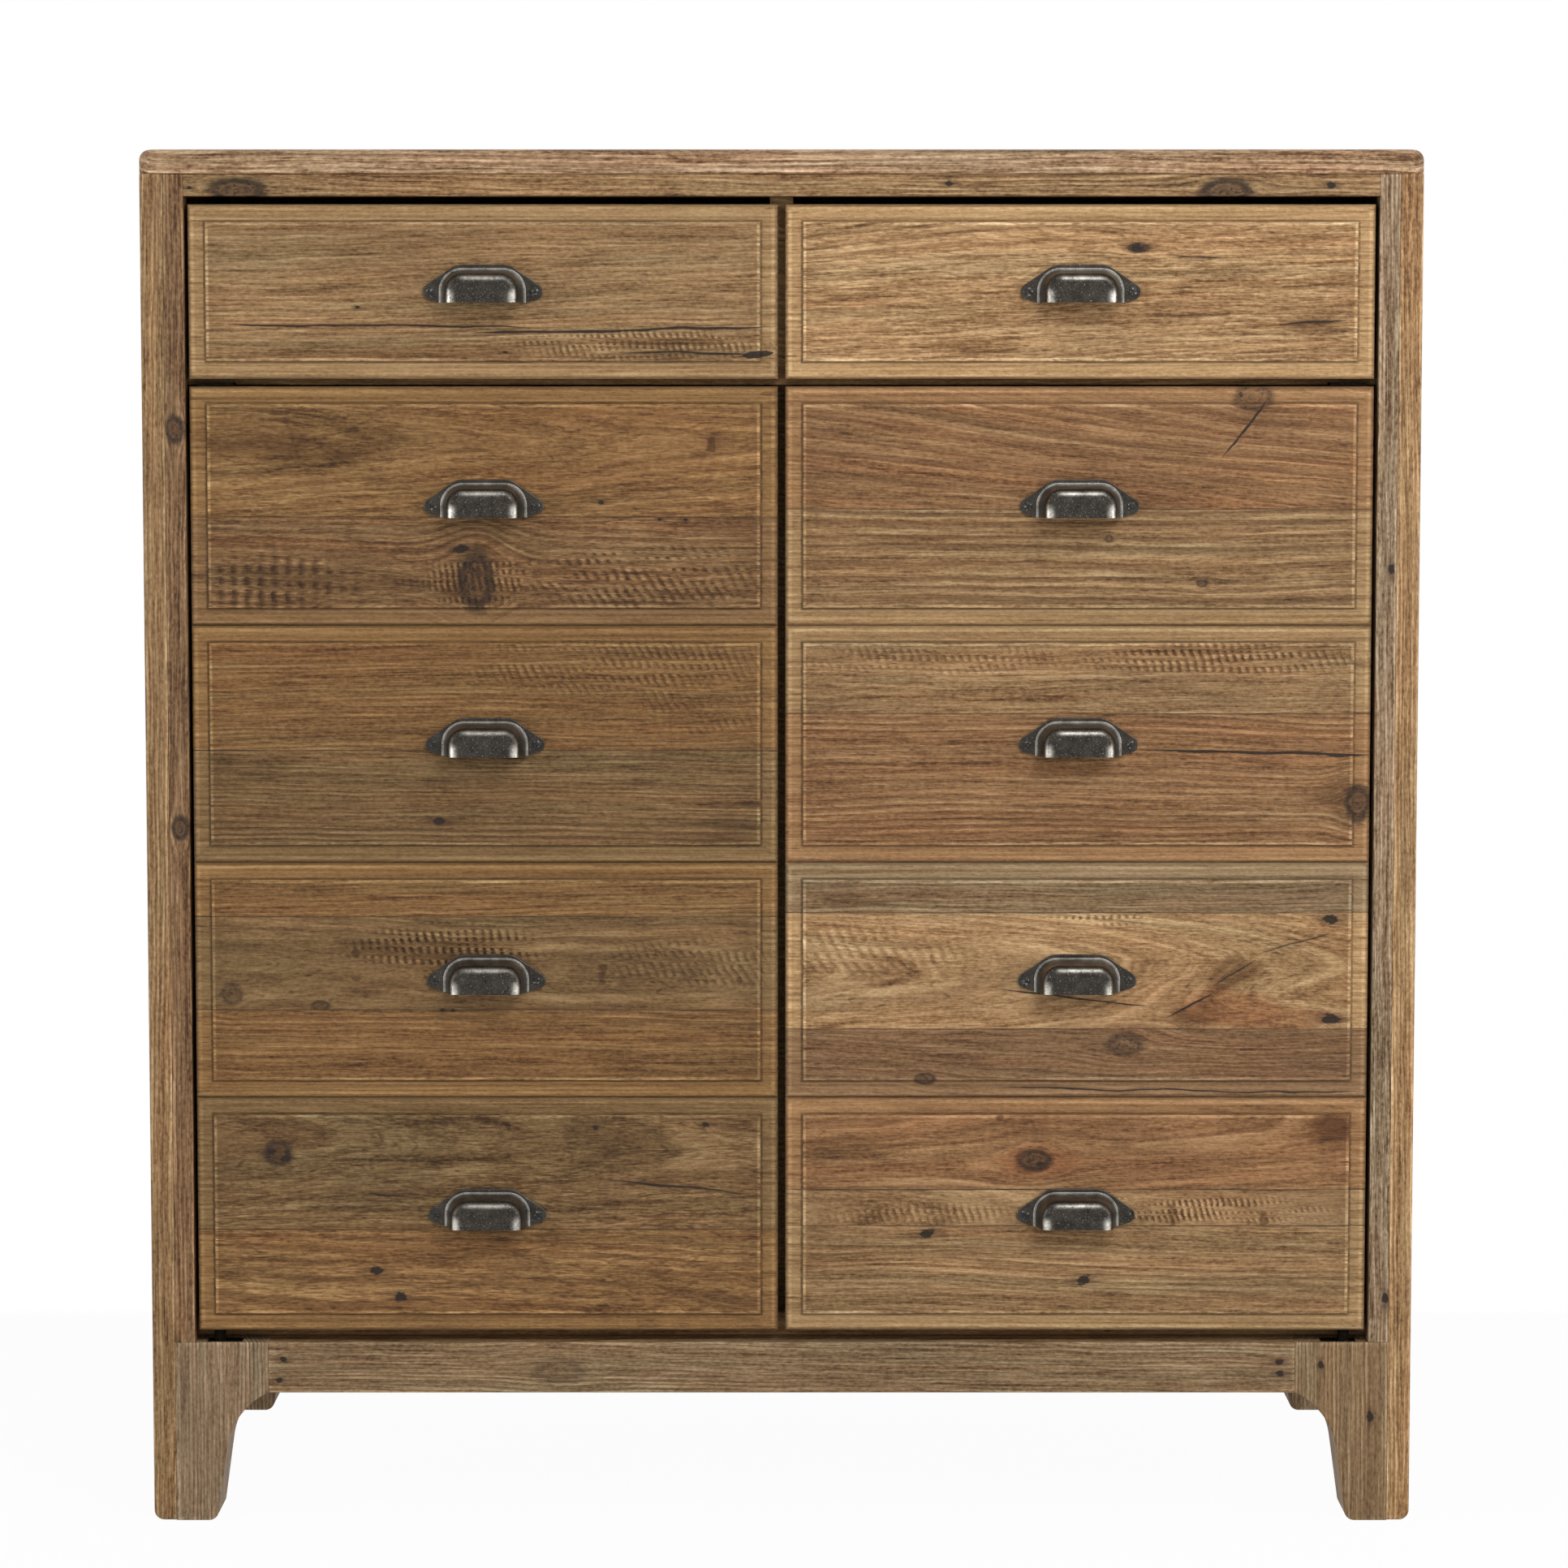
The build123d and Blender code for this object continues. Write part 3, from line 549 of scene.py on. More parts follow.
    def cracks(self):
        """Open cracks that wander along the grain and thin out at both ends."""
        for start, end, level, slope, thick in self.marks.cracks:
            middle = (self.along - start) * slope + level
            off = abs(self.across - middle + self.quick * 7.0 + self.wander * 6.0 + self.rough * 2.0)
            taper = min(CRACK_TAPER, (end - start) / 3)
            reach = self.hump(self.along, start, start + taper, end - taper, end)
            width = reach * (self.rough * 3.0 + 1.3) * thick
            self.tinted = self.mix(self.fade(off, 0.0, 3.0) * reach * 0.35, self.tinted, self.timber.knot)
            self.soil(self.fade(off - width, -0.2, 0.25) * self.ramp(reach, 0.02, 0.2))

    def joints(self):
        """Thin glue lines between the boards."""
        for board in self.boards[1:]:
            off = abs(self.across + self.wander * 1.2 - board.top)
            self.soil(self.fade(off, 0.1, 0.9) * (self.rough * 2.4 + self.streak * 1.8 + 0.55))

    def border(self):
        """The routed border of a front: cleaner wood, painted shade with grime in the step's groove and on
        the outer arris, and painted highlights on the step and on the lip.
        """
        left, right, bottom, top = self.face
        in_sides = (right - left) / 2 - abs(self.along - (left + right) / 2)
        in_ends = (top - bottom) / 2 - abs(self.across - (bottom + top) / 2)
        inward = in_sides.at_most(in_ends) + self.rough * 0.6
        border = self.fade(inward, *BORDER_STEP)
        uprights = self.fade(in_sides, *BORDER_STEP)
        split = self.noise(self.along * 0.06, self.across * 0.5, self.seed + 8.0)
        checks = self.ramp(split, 0.1, 0.2) * uprights
        level = self.cloud(*LINES) * 2.2 + self.fine * 0.8 + self.grit * 0.9 + self.rough * 0.5
        level = level + uprights * 0.05 + 1.28
        clean = self.warmed(self.dyed(self.base, CLEAN), (level - checks * 0.4).at_least(0.3))
        colour = self.mix(border * 0.8, self.tinted, clean)

        patchy = (self.rough * 1.8 + self.streak * 1.2 + 0.5).at_least(0.0)
        dusty = self.fade(inward, BORDER, BORDER + DUST_REACH) * (1 - border)
        # Painted highlights: a light line along the field's step and another along the eased lip near the
        # outer edge
        rub_and_highlight = self.fade(abs(inward - STEP_HIGHLIGHT_AT), 0.5, 1.8)
        lip = self.fade(abs(inward - LIP_HIGHLIGHT_AT), 0.4, 2.0)
        light = (rub_and_highlight * 0.55 + lip * 0.25) * (patchy * 1.2 + 0.45)
        colour = self.warmed(colour, (light - patchy * dusty * 0.2 + 1.0).at_least(0.3))
        # Painted shade, with some grime: a dark line in the step's groove and a dark band on the outer arris
        groove = self.fade(abs(inward - GROOVE_SHADE_AT), 0.3, 1.4) * (patchy * 0.8 + 0.25)
        arris = self.fade(inward, 1.0, 2.6) * (patchy * 0.6 + 0.25)
        shade_and_grime = (groove.at_least(arris) * 0.85).at_most(0.95)
        self.tinted = self.mix(shade_and_grime, colour, self.scaled(self.base, 0.3))

    def wear(self):
        """Arrises rubbed pale, where a point lies near two faces of the piece's box at once."""
        low, high = self.edges
        gaps = []
        for axis, place in enumerate(self.xyz):
            half = (high[axis] - low[axis]) / 2 / MM
            middle = (high[axis] + low[axis]) / 2 / MM
            gaps.append(half - abs(place - middle))
        first, second, third = gaps
        to_arris = first.at_most(second).at_least(first.at_least(second).at_most(third))
        patchy = (self.streak * 1.6 + self.rough * 1.6 + 0.6).at_least(0.0)
        rub_and_highlight = self.fade(to_arris + self.rough * 3.0, *WORN_ARRIS) * patchy
        self.tinted = self.warmed(self.tinted, rub_and_highlight * 0.35 + 1.0)

    def made(self):
        """The finished material."""
        self.lay_grain()
        self.colour_grain()
        if self.marks.chips:
            self.chips()
        self.swirls()
        self.saw_marks()
        self.stains()
        self.tinted = self.warmed(self.tinted, self.shade)
        if self.face is not None:
            self.border()
        if self.edges is not None:
            self.wear()
        self.knots()
        self.nails()
        self.cracks()
        self.joints()
        colour = self.tinted
        if self.grime is not None:
            colour = self.mix(self.grime.share() * 0.95, colour, self.timber.crack)
        gloss = self.fine * 0.3 + self.rough * 0.3 - self.late * 0.08 + self.timber.roughness
        return self.finish(colour, gloss, self.height, self.timber.relief, specular=WAX_SHINE)


def cast_iron(name, colour, worn_and_highlight, metallic=1.0):
    """Dark metal, or matt black where it isn't metallic, with a fine skin rubbed brighter in spots."""
    sheet = Sheet(bpy.data.materials.new(name))
    axes = sheet.axes()
    skin = sheet.mottle(axes, 0.9, 3.0, 0.6)
    spots = sheet.ramp(sheet.mottle(axes, 0.5, 2.0), 0.06, 0.2)
    tone = sheet.scaled(sheet.mix(spots * 0.3, colour, worn_and_highlight), skin * 1.4 + 1.0)
    return sheet.finish(tone, skin * 0.3 + 0.45, skin, SKIN_RELIEF, metallic, metallic * 0.5)


def pull_iron(node, iron):
    """Dark cast iron with painted highlights on the cup's flanks and crown, on the bead and on the plate's
    rim, which also read as rubbed metal, and a painted sheen on the cup's wall.
    """
    sheet = Sheet(bpy.data.materials.new("cast_iron_" + node))
    axes = sheet.axes()
    x, y, z = axes
    low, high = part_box(node)
    side = abs(x - (low.x + high.x) / 2 / MM)
    up = z - low.z / MM
    reach = FRONT_Y - low.y / MM
    proud = FRONT_Y - y
    skin = sheet.mottle(axes, 0.8, 3.0, 0.65)
    patch = sheet.mottle(axes, 0.11, 2.0)
    flank_out, flank_width = PULL_FLANK_HIGHLIGHT
    crown_up, crown_height = PULL_CROWN_HIGHLIGHT
    # Painted highlights: bright bands low on the cup's flanks and along its crown, where the lamps would be
    # reflected
    flank = ((side - flank_out) * (1.0 / flank_width)).bell() * sheet.fade(up, 4.0, 12.0) * 0.9
    crown = ((up - crown_up) * (1.0 / crown_height)).bell() * sheet.fade(side, 11.0, 21.0) * 0.5
    facing = sheet.ramp(proud, reach - 6.2, reach - 2.4)
    # Painted sheen: the cup's wall between the bead and the nose is lightened
    wall = sheet.ramp(proud, 4.2, 6.0) * (1 - facing) * 0.22
    cup = (facing * flank.at_least(crown)).at_least(wall)
    # Painted highlights along the bead and along the plate's rim
    bead = sheet.hump(proud, *PULL_BEAD_HIGHLIGHT) * 0.38
    rim = sheet.hump(proud, *PULL_RIM_HIGHLIGHT) * 0.4
    # All the painted highlights together, also read as rubbed metal, broken up by the skin
    highlight_and_rub = (cup.at_least(bead).at_least(rim) * (skin * 2.2 + patch * 1.8 + 0.85)).share()
    speck = sheet.ramp(skin, 0.1, 0.24) * 0.35
    dark = sheet.scaled(iron.cast, skin * 1.6 + patch * 1.4 + 1.0)
    tone = sheet.mix(highlight_and_rub.at_least(speck), dark, iron.worn_and_highlight)
    return sheet.finish(tone, skin * 0.4 + 0.38 - highlight_and_rub * 0.08, skin, SKIN_RELIEF, metallic=1.0)


def dress(names, material):
    """Give CAD nodes one material."""
    for name in names:
        mesh = NODES[name].data
        mesh.materials.clear()
        mesh.materials.append(material)


def face_box(name):
    """The front rectangle of a node: left, right, bottom, top."""
    low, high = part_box(name)
    return (low.x / MM, high.x / MM, low.z / MM, high.z / MM)


def plank(tone, heart, deep, ring, slope, wave, late, top=None):
    """A board of a front, with the log's heart so deep behind the front's plane."""
    return Board(top, tone, heart, FRONT_Y + deep, ring, slope, wave, late)


def dress_worn(node, name, lay, boards, marks=Marks(), seed=0.0, contrast=1.0):
    """Give a piece of the frame its own boards, with rubbed arrises."""
    pine = OldPine("old_pine_" + name, lay, boards, marks, seed, contrast=contrast, edges=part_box(node))
    dress([node], pine.made())


# Boards and marks of each front, from the top row down. The left column's boards have darker tones than the
# right column's, partly as painted shade for the light that falls from the right
FRONTS = {
    "left_drawer_front": (
        [plank("tan", 1180.0, 150.0, 3.4, 0.012, 16.0, 0.4)],
        Marks(
            cracks=[
                (-440, -190, 946, -0.01, 0.55),
                (-250, -2, 939, 0.022, 0.75),
                (-34, -4, 922, 0.1, 1.8),
                (-140, -8, 924, 0.0, 0.5),
            ],
            saws=[(-110, 931, 115, 13, 5.5, 0.3, 1.0)],
            stains=[(-240, 920, 240, 22, 0.25), (-330, 1000, 70, 30, 0.15)],
            nails=[(-330, 960, 0.8), (-215, 925, 0.8)],
        ),
    ),
    "right_drawer_front": (
        [plank("honey", 1180.0, 150.0, 6.5, 0.03, 34.0, 0.3)],
        Marks(
            knots=[(277, 1006, 8, 3.0, 0.9)],
            nails=[(276, 1006, 2.2)],
            cracks=[(296, 350, 1001, -0.08, 0.25), (385, 445, 946, 0.06, 0.5)],
            stains=[(412, 947, 34, 8, 0.5), (150, 931, 70, 9, 0.22), (60, 960, 60, 30, 0.12)],
            chips=0.5,
        ),
    ),
    "left_door_front_1": (
        [
            plank("umber", 857.0, 40.0, 5.2, 0.045, 24.0, 0.4),
            plank("bark", 690.0, 55.0, 6.0, 0.03, 34.0, 0.45, 797.0),
        ],
        Marks(
            knots=[(-239, 746, 13, 22, 0.9)],
            nails=[(-250, 772, 2.3), (-141, 808, 1.1), (-75, 795, 1.1), (-95, 795, 0.9)],
            saws=[
                (-400, 745, 75, 26, 10.5, 0.0, 1.1),
                (-240, 747, 44, 26, 5.0, 0.15, 1.3),
                (-110, 750, 110, 30, 8.0, 0.6, 1.1),
            ],
            stains=[(-390, 851, 75, 16, 0.35), (-240, 750, 28, 26, 0.45), (-390, 745, 80, 24, 0.3)],
            chips=0.5,
        ),
    ),
    "right_door_front_1": (
        [
            plank("fox", 905.0, 26.0, 10.0, -0.09, 46.0, 0.75),
            plank("tan", 600.0, 60.0, 8.5, 0.02, 34.0, 1.0, 803.0),
        ],
        Marks(
            knots=[(368, 890, 14, 10, 0.6), (329, 745, 4, 3, 0.9), (256, 780, 3, 2.4, 0.8)],
            cracks=[(340, 384, 840, 1.2, 1.0)],
            stains=[(120, 780, 140, 18, 0.15), (368, 880, 26, 22, 0.2)],
        ),
    ),
    "left_door_front_2": (
        [
            plank("umber", 900.0, 100.0, 3.6, 0.012, 16.0, 0.6),
            plank("olive", 380.0, 100.0, 3.4, 0.012, 18.0, 0.75, 614.0),
        ],
        Marks(
            nails=[(-269, 558, 2.0)],
            stains=[(-42, 556, 46, 24, 0.4), (-420, 600, 90, 14, 0.2), (-60, 640, 70, 18, 0.15)],
            saws=[(-130, 680, 130, 24, 6.5, 0.5, 0.8), (-60, 645, 60, 18, 6.5, 0.5, 0.6)],
        ),
    ),
    "right_door_front_2": (
        [
            plank("tan", 900.0, 100.0, 5.0, 0.015, 22.0, 0.5),
            plank("fox", 380.0, 80.0, 4.8, 0.015, 26.0, 0.8, 643.0),
        ],
        Marks(
            knots=[(452, 572, 9, 13, 1.0)],
            cracks=[(276, 472, 614, -0.02, 0.8)],
            saws=[(340, 686, 130, 15, 6.5, 0.3, 1.0), (120, 686, 120, 13, 6.5, 0.3, 0.7)],
            stains=[(440, 575, 40, 26, 0.3), (240, 560, 150, 16, 0.12)],
        ),
    ),
    "left_door_front_3": (
        [
            plank("umber", 720.0, 100.0, 4.0, 0.012, 18.0, 0.45),
            plank("olive", 440.0, 75.0, 5.0, 0.03, 30.0, 0.4, 483.0),
            plank("umber", 180.0, 100.0, 4.0, 0.012, 18.0, 0.55, 409.0),
        ],
        Marks(
            knots=[(-433, 421, 8, 8, 0.6), (-363, 413, 7, 3.5, 0.8)],
            saws=[(-262, 457, 90, 22, 6.5, 0.2, 1.4), (-70, 445, 80, 24, 7.0, 0.5, 0.7)],
            stains=[(-262, 457, 100, 22, 0.3), (-420, 450, 60, 20, 0.15)],
            nails=[(-267, 409, 0.9), (-259, 409, 0.9)],
        ),
    ),
    "right_door_front_3": (
        [
            plank("ash", 760.0, 100.0, 3.2, 0.01, 12.0, 0.55),
            plank("honey", 436.0, 70.0, 7.0, 0.05, 40.0, 0.3, 486.0),
            plank("plum", 320.0, 60.0, 4.6, 0.03, 26.0, 0.55, 394.0),
        ],
        Marks(
            knots=[(271, 381, 14, 8, 0.7), (113, 354, 7, 4, 0.9)],
            swirls=[(352, 410, 50, 17, 0.9), (392, 402, 50, 11, 0.7)],
            nails=[(432, 481, 2.6), (433, 402, 2.6)],
            cracks=[
                (300, 345, 402, 0.5, 0.6),
                (338, 376, 428, 0.6, 0.5),
                (370, 440, 452, 0.3, 0.3),
                (160, 300, 428, -0.12, 0.45),
                (160, 466, 348, -0.02, 0.4),
            ],
            saws=[(255, 480, 60, 5, 6.0, 0.0, 0.9), (70, 455, 90, 24, 9.0, 0.6, 0.6)],
            stains=[
                (52, 495, 40, 14, 0.3),
                (322, 404, 34, 16, 0.5),
                (352, 440, 30, 16, 0.5),
                (430, 448, 30, 24, 0.15),
            ],
        ),
    ),
    "left_door_front_4": (
        [
            plank("olive", 300.0, 60.0, 5.4, 0.03, 30.0, 0.4),
            plank("umber", 150.0, 90.0, 5.0, 0.03, 24.0, 0.5, 234.0),
        ],
        Marks(
            knots=[(-398, 294, 11, 9, 1.0)],
            nails=[
                (-321, 201, 2.6),
                (-301, 181, 2.6),
                (-147, 315, 1.2),
                (-60, 318, 1.2),
                (-403, 296, 2.0),
                (-392, 291, 1.8),
            ],
            cracks=[(-330, -290, 262, -0.05, 0.5), (-150, -20, 275, -0.1, 0.6)],
            stains=[(-300, 262, 140, 20, 0.12), (-100, 300, 90, 20, 0.12), (-100, 185, 120, 22, 0.12)],
            chips=0.6,
        ),
    ),
    "right_door_front_4": (
        [
            plank("fox", 330.0, 60.0, 5.4, 0.03, 30.0, 0.5),
            plank("tan", 240.0, 110.0, 5.0, 0.015, 16.0, 0.4, 266.0),
            plank("tan", 20.0, 100.0, 4.6, 0.02, 24.0, 0.6, 237.0),
        ],
        Marks(
            knots=[(200, 289, 12, 8, 0.95)],
            swirls=[(205, 287, 40, 13, 0.8)],
            nails=[(114, 231, 2.6), (239, 194, 2.6), (204, 286, 1.8)],
            saws=[(330, 250, 110, 12, 5.0, 0.3, 1.2), (110, 246, 90, 10, 6.0, 0.3, 0.7)],
            stains=[(432, 316, 46, 26, 0.65), (60, 300, 60, 20, 0.2), (360, 190, 90, 20, 0.15)],
        ),
    ),
}


class CABINET_OT_fronts(bpy.types.Operator):
    """Give each drawer front and false front its own old boards"""

    bl_idname = "cabinet.fronts"
    bl_label = "Fronts"

    def execute(self, context):
        for number, (name, (boards, marks)) in enumerate(FRONTS.items()):
            seed = 1.0 + number * 2.7
            pine = OldPine("old_pine_" + name, "XZY", boards, marks, seed, face_box(name), FRONT_CONTRAST)
            dress([name], pine.made())
        return {"FINISHED"}


class CABINET_OT_frame(bpy.types.Operator):
    """Give the top, sides, stiles, rails and feet their boards"""

    bl_idname = "cabinet.frame"
    bl_label = "Frame"

    def execute(self, context):
        self.top()
        self.sides()
        self.rails()
        self.stiles()
        self.feet()
        return {"FINISHED"}

    def top(self):
        """Three boards from the back to the front."""
        boards = [
            Board(None, "honey", 60.0, 1020.0, 5.0, 0.015, 30.0, 0.5),
            Board(90.0, "fox", -40.0, 1010.0, 4.4, 0.012, 24.0, 0.6),
            Board(-60.0, "chalk", -190.0, 1000.0, 4.4, 0.012, 16.0, 0.7),
        ]
        marks = Marks(
            knots=[
                (-300, 120, 15, 10, 0.8),
                (210, -10, 12, 9, 0.9),
                (380, 170, 9, 6, 0.8),
                (-120, -130, 10, 6, 0.8),
            ],
            nails=[(-440, 20, 1.9), (-428, 150, 1.9), (430, 60, 1.9), (120, 190, 1.4)],
            cracks=[(-470, -260, 60, 0.01, 0.6), (250, 470, -100, -0.015, 0.5)],
        )
        dress_worn("top_panel", "top", "XYZ", boards, marks, seed=41.0, contrast=1.9)

    def sides(self):
        """Three upright boards on each side, from the back to the front, with marks at other heights. The
        right side's paler honey tone is partly painted light, for the light that falls from the right.
        """
        for number, (side, tone, heart_x) in enumerate((("left", "tan", -420.0), ("right", "honey", 420.0))):
            boards = [
                Board(None, tone, 170.0, heart_x, 5.0, 0.012, 26.0, 0.55),
                Board(90.0, "fox", 20.0, heart_x, 4.4, 0.012, 26.0, 0.55),
                Board(-70.0, tone, -250.0, heart_x / 2, 3.4, 0.01, 12.0, 0.7),
            ]
            shift = 90.0 * number
            marks = Marks(
                knots=[
                    (820 - shift, 150, 15, 10, 0.8),
                    (430 + shift, -20, 13, 9, 0.9),
                    (250, 190, 9, 7, 0.8),
                ],
                nails=[
                    *((1035, level, 1.8) for level in (-150, 60, 190)),
                    *((152, level, 1.8) for level in (-30, 120)),
                ],
                cracks=[(760, 1000, 10 + shift, 0.01, 0.5), (300, 480, 150, -0.02, 0.45)],
            )
            node = side + "_side_panel"
            dress_worn(node, "side_" + side, "ZYX", boards, marks, seed=51.0 + number, contrast=1.6)

    def rails(self):
        """The rail over the drawers and the two aprons."""
        rail = [plank("tan", 960.0, 60.0, 3.4, 0.012, 12.0, 0.7)]
        marks = Marks(
            knots=[(-424, 1051, 21, 9, 1.0), (345, 1050, 19, 8, 1.0)],
            nails=[(427, 1054, 1.6), (-460, 1052, 0.9), (130, 1055, 1.6)],
        )
        pine = OldPine("old_pine_rail", "XZY", rail, marks, seed=61.0, contrast=1.8)
        dress(["top_front_rail"], pine.made())
        apron = [plank("ash", -40.0, 60.0, 3.2, 0.012, 12.0, 0.7)]
        marks = Marks(
            knots=[(-176, 120, 20, 10, 0.35)],
            nails=[(-395, 130, 1.7), (-398, 113, 1.7), (395, 128, 1.7), (395, 119, 1.7)],
        )
        dress_worn("front_apron", "apron", "XZY", apron, marks, seed=67.0, contrast=1.5)
        back_rail = [Board(None, "ash", 60.0, 180.0, 3.8, 0.02, 16.0, 0.55)]
        dress_worn("rear_apron", "back_rail", "XZY", back_rail, seed=68.0)

    def stiles(self):
        """The narrow uprights beside the fronts. The left one's darker plum tone is partly painted shade, for
        the light that falls from the right.
        """
        left = [Board(None, "plum", -330.0, FRONT_Y + 60.0, 3.0, 0.008, 8.0, 0.8)]
        marks = Marks(knots=[(865, -473, 10, 7, 1.0), (553, -472, 9, 6, 1.0)], nails=[(140, -479, 1.6)])
        dress_worn("left_front_stile", "stile_left", "ZXY", left, marks, seed=63.0, contrast=1.9)
        right = [Board(None, "drift", 330.0, FRONT_Y + 60.0, 3.0, 0.008, 8.0, 0.7)]
        marks = Marks(nails=[(757, 477, 1.8), (179, 478, 1.8)])
        dress_worn("right_front_stile", "stile_right", "ZXY", right, marks, seed=65.0, contrast=1.9)

    def feet(self):
        """Four feet with upright grain. The right front foot is darker and has two nails."""
        nailed = Marks(nails=[(125, 428, 1.7), (84, 467, 1.7)])
        feet = (
            ("front_left", "drift", Marks()),
            ("front_right", "ash", nailed),
            ("rear_left", "drift", Marks()),
            ("rear_right", "drift", Marks()),
        )
        for number, (name, tone, marks) in enumerate(feet):
            low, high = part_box(name + "_foot")
            heart = (low.x + high.x) / 2 / MM * 0.55
            boards = [Board(None, tone, heart, low.y / MM + 60.0, 2.8, 0.008, 8.0, 0.7)]
            node = name + "_foot"
            dress_worn(node, "foot_" + name, "ZXY", boards, marks, seed=71.0 + number, contrast=1.2)


class CABINET_OT_inside(bpy.types.Operator):
    """Give the boards inside, the drawer boxes and the back their plainer pine"""

    bl_idname = "cabinet.inside"
    bl_label = "Inside"

    def execute(self, context):
        self.lying()
        self.upright()
        self.back()
        self.doors()
        return {"FINISHED"}

    def lying(self):
        """Deck, cupboard floor, shelves and drawer bottoms."""
        names = ["drawer_deck", "bottom_panel"]
        names += [side + part for side in ("left", "right") for part in ("_shelf", "_drawer_bottom")]
        boards = [
            Board(None, "bare", 700.0, 300.0, 5.0, 0.012, 30.0, 0.5),
            Board(60.0, "honey", -700.0, 320.0, 4.6, 0.012, 26.0, 0.5),
        ]
        dress(names, OldPine("bare_pine_lying", "XYZ", boards, seed=81.0).made())

    def upright(self):
        """Partition, divider, runners and drawer sides, with the grain from front to back."""
        names = ["centre_partition", "drawer_divider", "drawer_runners"]
        for side in ("left", "right"):
            names += [side + "_drawer_outer_side", side + "_drawer_inner_side"]
        boards = [Board(None, "bare", 1500.0, 40.0, 5.0, 0.012, 26.0, 0.5)]
        dress(names, OldPine("bare_pine_upright", "YZX", boards, seed=83.0).made())

    def back(self):
        """The nailed back, the drawers' backs and the bearer, with the grain from side to side."""
        names = ["back_panel", "left_drawer_back", "right_drawer_back", "front_bearer"]
        boards = [
            Board(None, "bare", 980.0, 300.0, 5.2, 0.012, 26.0, 0.5),
            Board(840.0, "honey", 760.0, 320.0, 4.8, -0.01, 24.0, 0.5),
            Board(600.0, "bare", 480.0, 310.0, 5.4, 0.012, 26.0, 0.5),
            Board(370.0, "honey", 260.0, 330.0, 4.8, -0.01, 24.0, 0.5),
        ]
        heights = (1000, 880, 720, 560, 400, 240)
        marks = Marks(
            knots=[
                (-260, 930, 16, 11, 0.8),
                (180, 700, 14, 10, 0.9),
                (-90, 480, 12, 9, 0.8),
                (330, 250, 14, 10, 0.8),
            ],
            nails=[(side * 470, height, 1.7) for side in (-1, 1) for height in heights],
        )
        dress(names, OldPine("bare_pine_wide", "XZY", boards, marks, seed=85.0, contrast=1.3).made())

    def doors(self):
        """The panels that carry the false fronts."""
        boards = [
            plank("bare", 1200.0, 60.0, 5.0, 0.012, 26.0, 0.5),
            plank("honey", 300.0, 60.0, 4.6, -0.01, 24.0, 0.5, 640.0),
            plank("bare", 700.0, 50.0, 5.2, 0.012, 26.0, 0.5, 400.0),
        ]
        places = ((-250, 700), (250, 480), (-250, 260), (250, 800))
        marks = Marks(knots=[(place, height, 13, 9, 0.8) for place, height in places])
        pine = OldPine("bare_pine_doors", "XZY", boards, marks, seed=87.0, contrast=1.3)
        dress(["left_door_panel", "right_door_panel"], pine.made())


class CABINET_OT_metal(bpy.types.Operator):
    """Give the pulls, screws, pivots and catches their metal"""

    bl_idname = "cabinet.metal"
    bl_label = "Metal"

    def execute(self, context):
        iron = context.scene.cabinet_iron
        screws = [name for name in NODES if name.endswith("pull_screws")]
        pulls = [name for name in NODES if "_pull" in name and name not in screws]
        steel = ["pivot_brackets", "shelf_pins", "left_door_pivot_leaves", "right_door_pivot_leaves"]
        for name in pulls:
            dress([name], pull_iron(name, iron))
        dress(screws, cast_iron("black_steel", iron.screw, iron.worn_and_highlight))
        # Pivot leaves, brackets and pins are near-black and matt: painted shade for the gaps they sit in,
        # also read as blackened steel
        dress(steel, cast_iron("blacked_steel", iron.steel, iron.screw, 0.0))
        dress(["door_catches"], cast_iron("catch_black", iron.catch, iron.steel, 0.0))
        return {"FINISHED"}


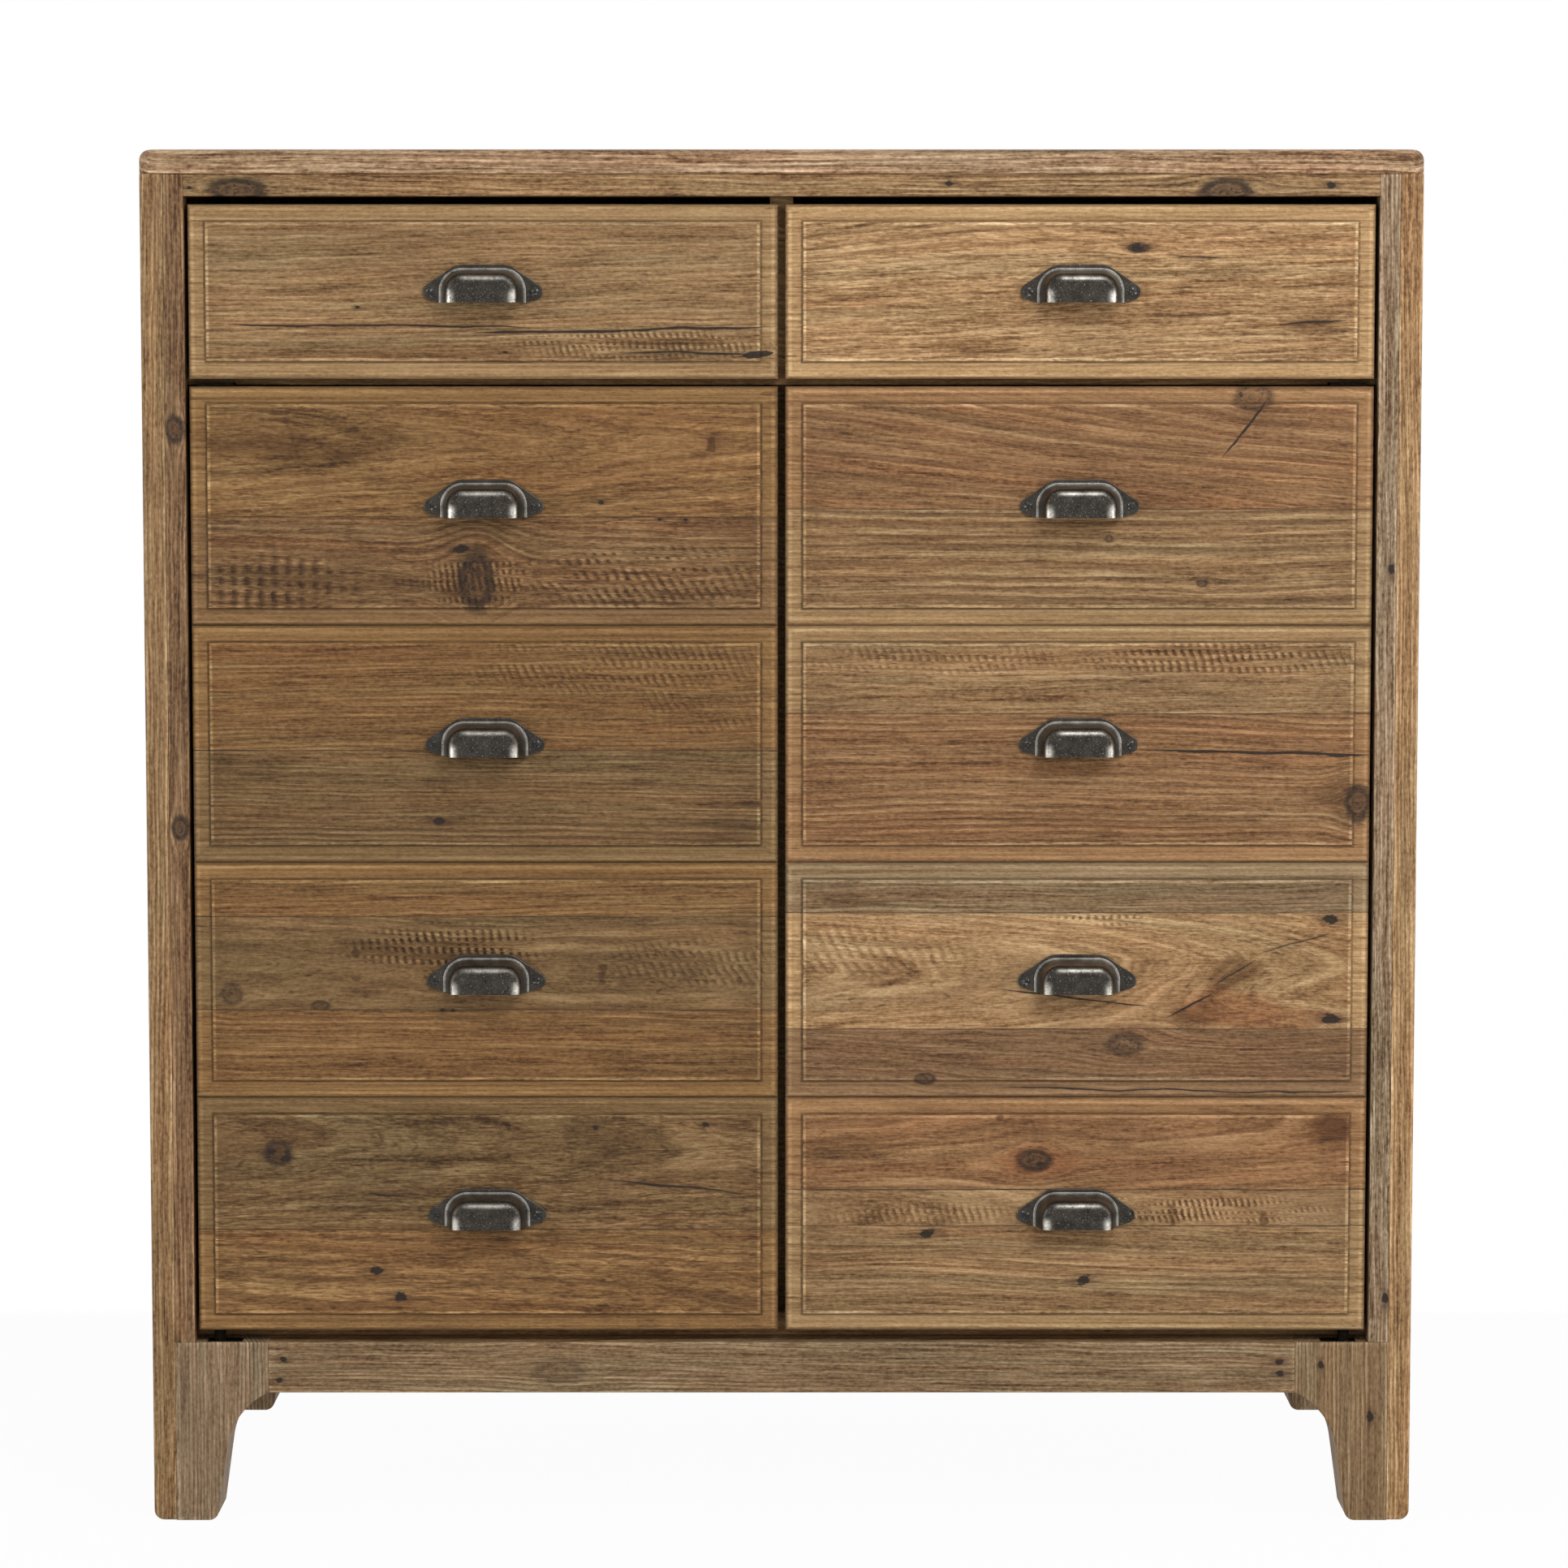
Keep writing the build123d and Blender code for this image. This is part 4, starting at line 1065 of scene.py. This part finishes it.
class CABINET_OT_stage(bpy.types.Operator):
    """Set the pale floor, the lamps and the camera"""

    bl_idname = "cabinet.stage"
    bl_label = "Stage"

    def execute(self, context):
        scene = context.scene
        stage = scene.cabinet_stage
        scene.view_settings.view_transform = "Standard"
        self.floor(scene, stage)
        self.air(scene, stage)
        for lamp in LAMPS:
            self.light(scene, lamp, getattr(stage, lamp.power))
        self.camera(scene, stage)
        return {"FINISHED"}

    def floor(self, scene, stage):
        """A wide pale floor that shows mostly white, with a trace of the cabinet's shadow."""
        shape = bmesh.new()
        bmesh.ops.create_grid(shape, x_segments=1, y_segments=1, size=FLOOR_HALF)
        mesh = bpy.data.meshes.new("floor")
        shape.to_mesh(mesh)
        shape.free()
        floor = bpy.data.objects.new("floor", mesh)
        scene.collection.objects.link(floor)
        sheet = Sheet(bpy.data.materials.new("pale_floor"))
        x, y, _ = sheet.axes()
        _, high = CAD_BOX
        beside = (abs(x) - high[0] / MM).at_least(abs(y) - high[1] / MM)
        away = sheet.ramp(beside, 0.0, SHADOW_REACH)
        whiteness = self.looked_at(sheet) * away.at_least(stage.floor_glow)
        matt = sheet.add("ShaderNodeBsdfDiffuse", None, {"Color": FLOOR_GREY})
        white = sheet.add("ShaderNodeEmission", None, {"Color": WHITE, "Strength": 1.0})
        both = sheet.add("ShaderNodeMixShader", None, {0: whiteness, 1: matt, 2: white})
        sheet.add("ShaderNodeOutputMaterial", None, {"Surface": both})
        mesh.materials.append(sheet.owner)

    def looked_at(self, sheet):
        """One where the camera looks, straight or by way of metal or glass."""
        names = ("Is Camera Ray", "Is Glossy Ray", "Is Transmission Ray")
        straight, mirrored, through = (sheet.add("ShaderNodeLightPath", out=name) for name in names)
        return straight.at_least(mirrored).at_least(through)

    def air(self, scene, stage):
        """Even pale light all round, plain white to the camera."""
        scene.world = bpy.data.worlds.new("studio")
        sheet = Sheet(scene.world)
        even, white = (
            sheet.add("ShaderNodeBackground", None, {"Color": WHITE, "Strength": level})
            for level in (stage.air, 1.0)
        )
        both = sheet.add("ShaderNodeMixShader", None, {0: self.looked_at(sheet), 1: even, 2: white})
        sheet.add("ShaderNodeOutputWorld", None, {"Surface": both})

    def light(self, scene, lamp, power):
        """A square soft lamp that looks at a point."""
        data = bpy.data.lights.new(lamp.name, "AREA")
        data.shape = "SQUARE"
        data.size = lamp.width
        data.energy = power
        light = bpy.data.objects.new(lamp.name, data)
        light.location = lamp.place
        light.rotation_euler = (Vector(lamp.aim) - Vector(lamp.place)).to_track_quat("-Z", "Y").to_euler()
        scene.collection.objects.link(light)

    def camera(self, scene, stage):
        """The photograph's view: level across, looking a little down."""
        camera = bpy.data.objects.new("camera", bpy.data.cameras.new("camera"))
        camera.data.lens = stage.lens
        camera.data.sensor_width = SENSOR_WIDTH
        camera.location = (stage.eye_side, FRONT_Y * MM - stage.eye_distance, stage.eye_height)
        camera.rotation_euler = (math.pi / 2 - stage.eye_pitch, 0.0, 0.0)
        scene.collection.objects.link(camera)
        scene.camera = camera


STEPS = (CABINET_OT_fronts, CABINET_OT_frame, CABINET_OT_inside, CABINET_OT_metal, CABINET_OT_stage)


class CABINET_PT_panel(bpy.types.Panel):
    """Lists the steps that dress the cabinet"""

    bl_idname = "CABINET_PT_panel"
    bl_label = "Cabinet"
    bl_space_type = "VIEW_3D"
    bl_region_type = "UI"
    bl_category = "Cabinet"

    def draw(self, context):
        for step in STEPS:
            self.layout.operator(step.bl_idname)


CLASSES = (CabinetTimber, CabinetIron, CabinetStage, *STEPS, CABINET_PT_panel)


def register():
    for cls in CLASSES:
        bpy.utils.register_class(cls)
    bpy.types.Scene.cabinet_timber = bpy.props.PointerProperty(type=CabinetTimber)
    bpy.types.Scene.cabinet_iron = bpy.props.PointerProperty(type=CabinetIron)
    bpy.types.Scene.cabinet_stage = bpy.props.PointerProperty(type=CabinetStage)


def unregister():
    del bpy.types.Scene.cabinet_stage
    del bpy.types.Scene.cabinet_iron
    del bpy.types.Scene.cabinet_timber
    for cls in reversed(CLASSES):
        bpy.utils.unregister_class(cls)


def main():
    register()
    for step in STEPS:
        group, call = step.bl_idname.split(".")
        getattr(getattr(bpy.ops, group), call)()


if __name__ == "__main__":
    main()
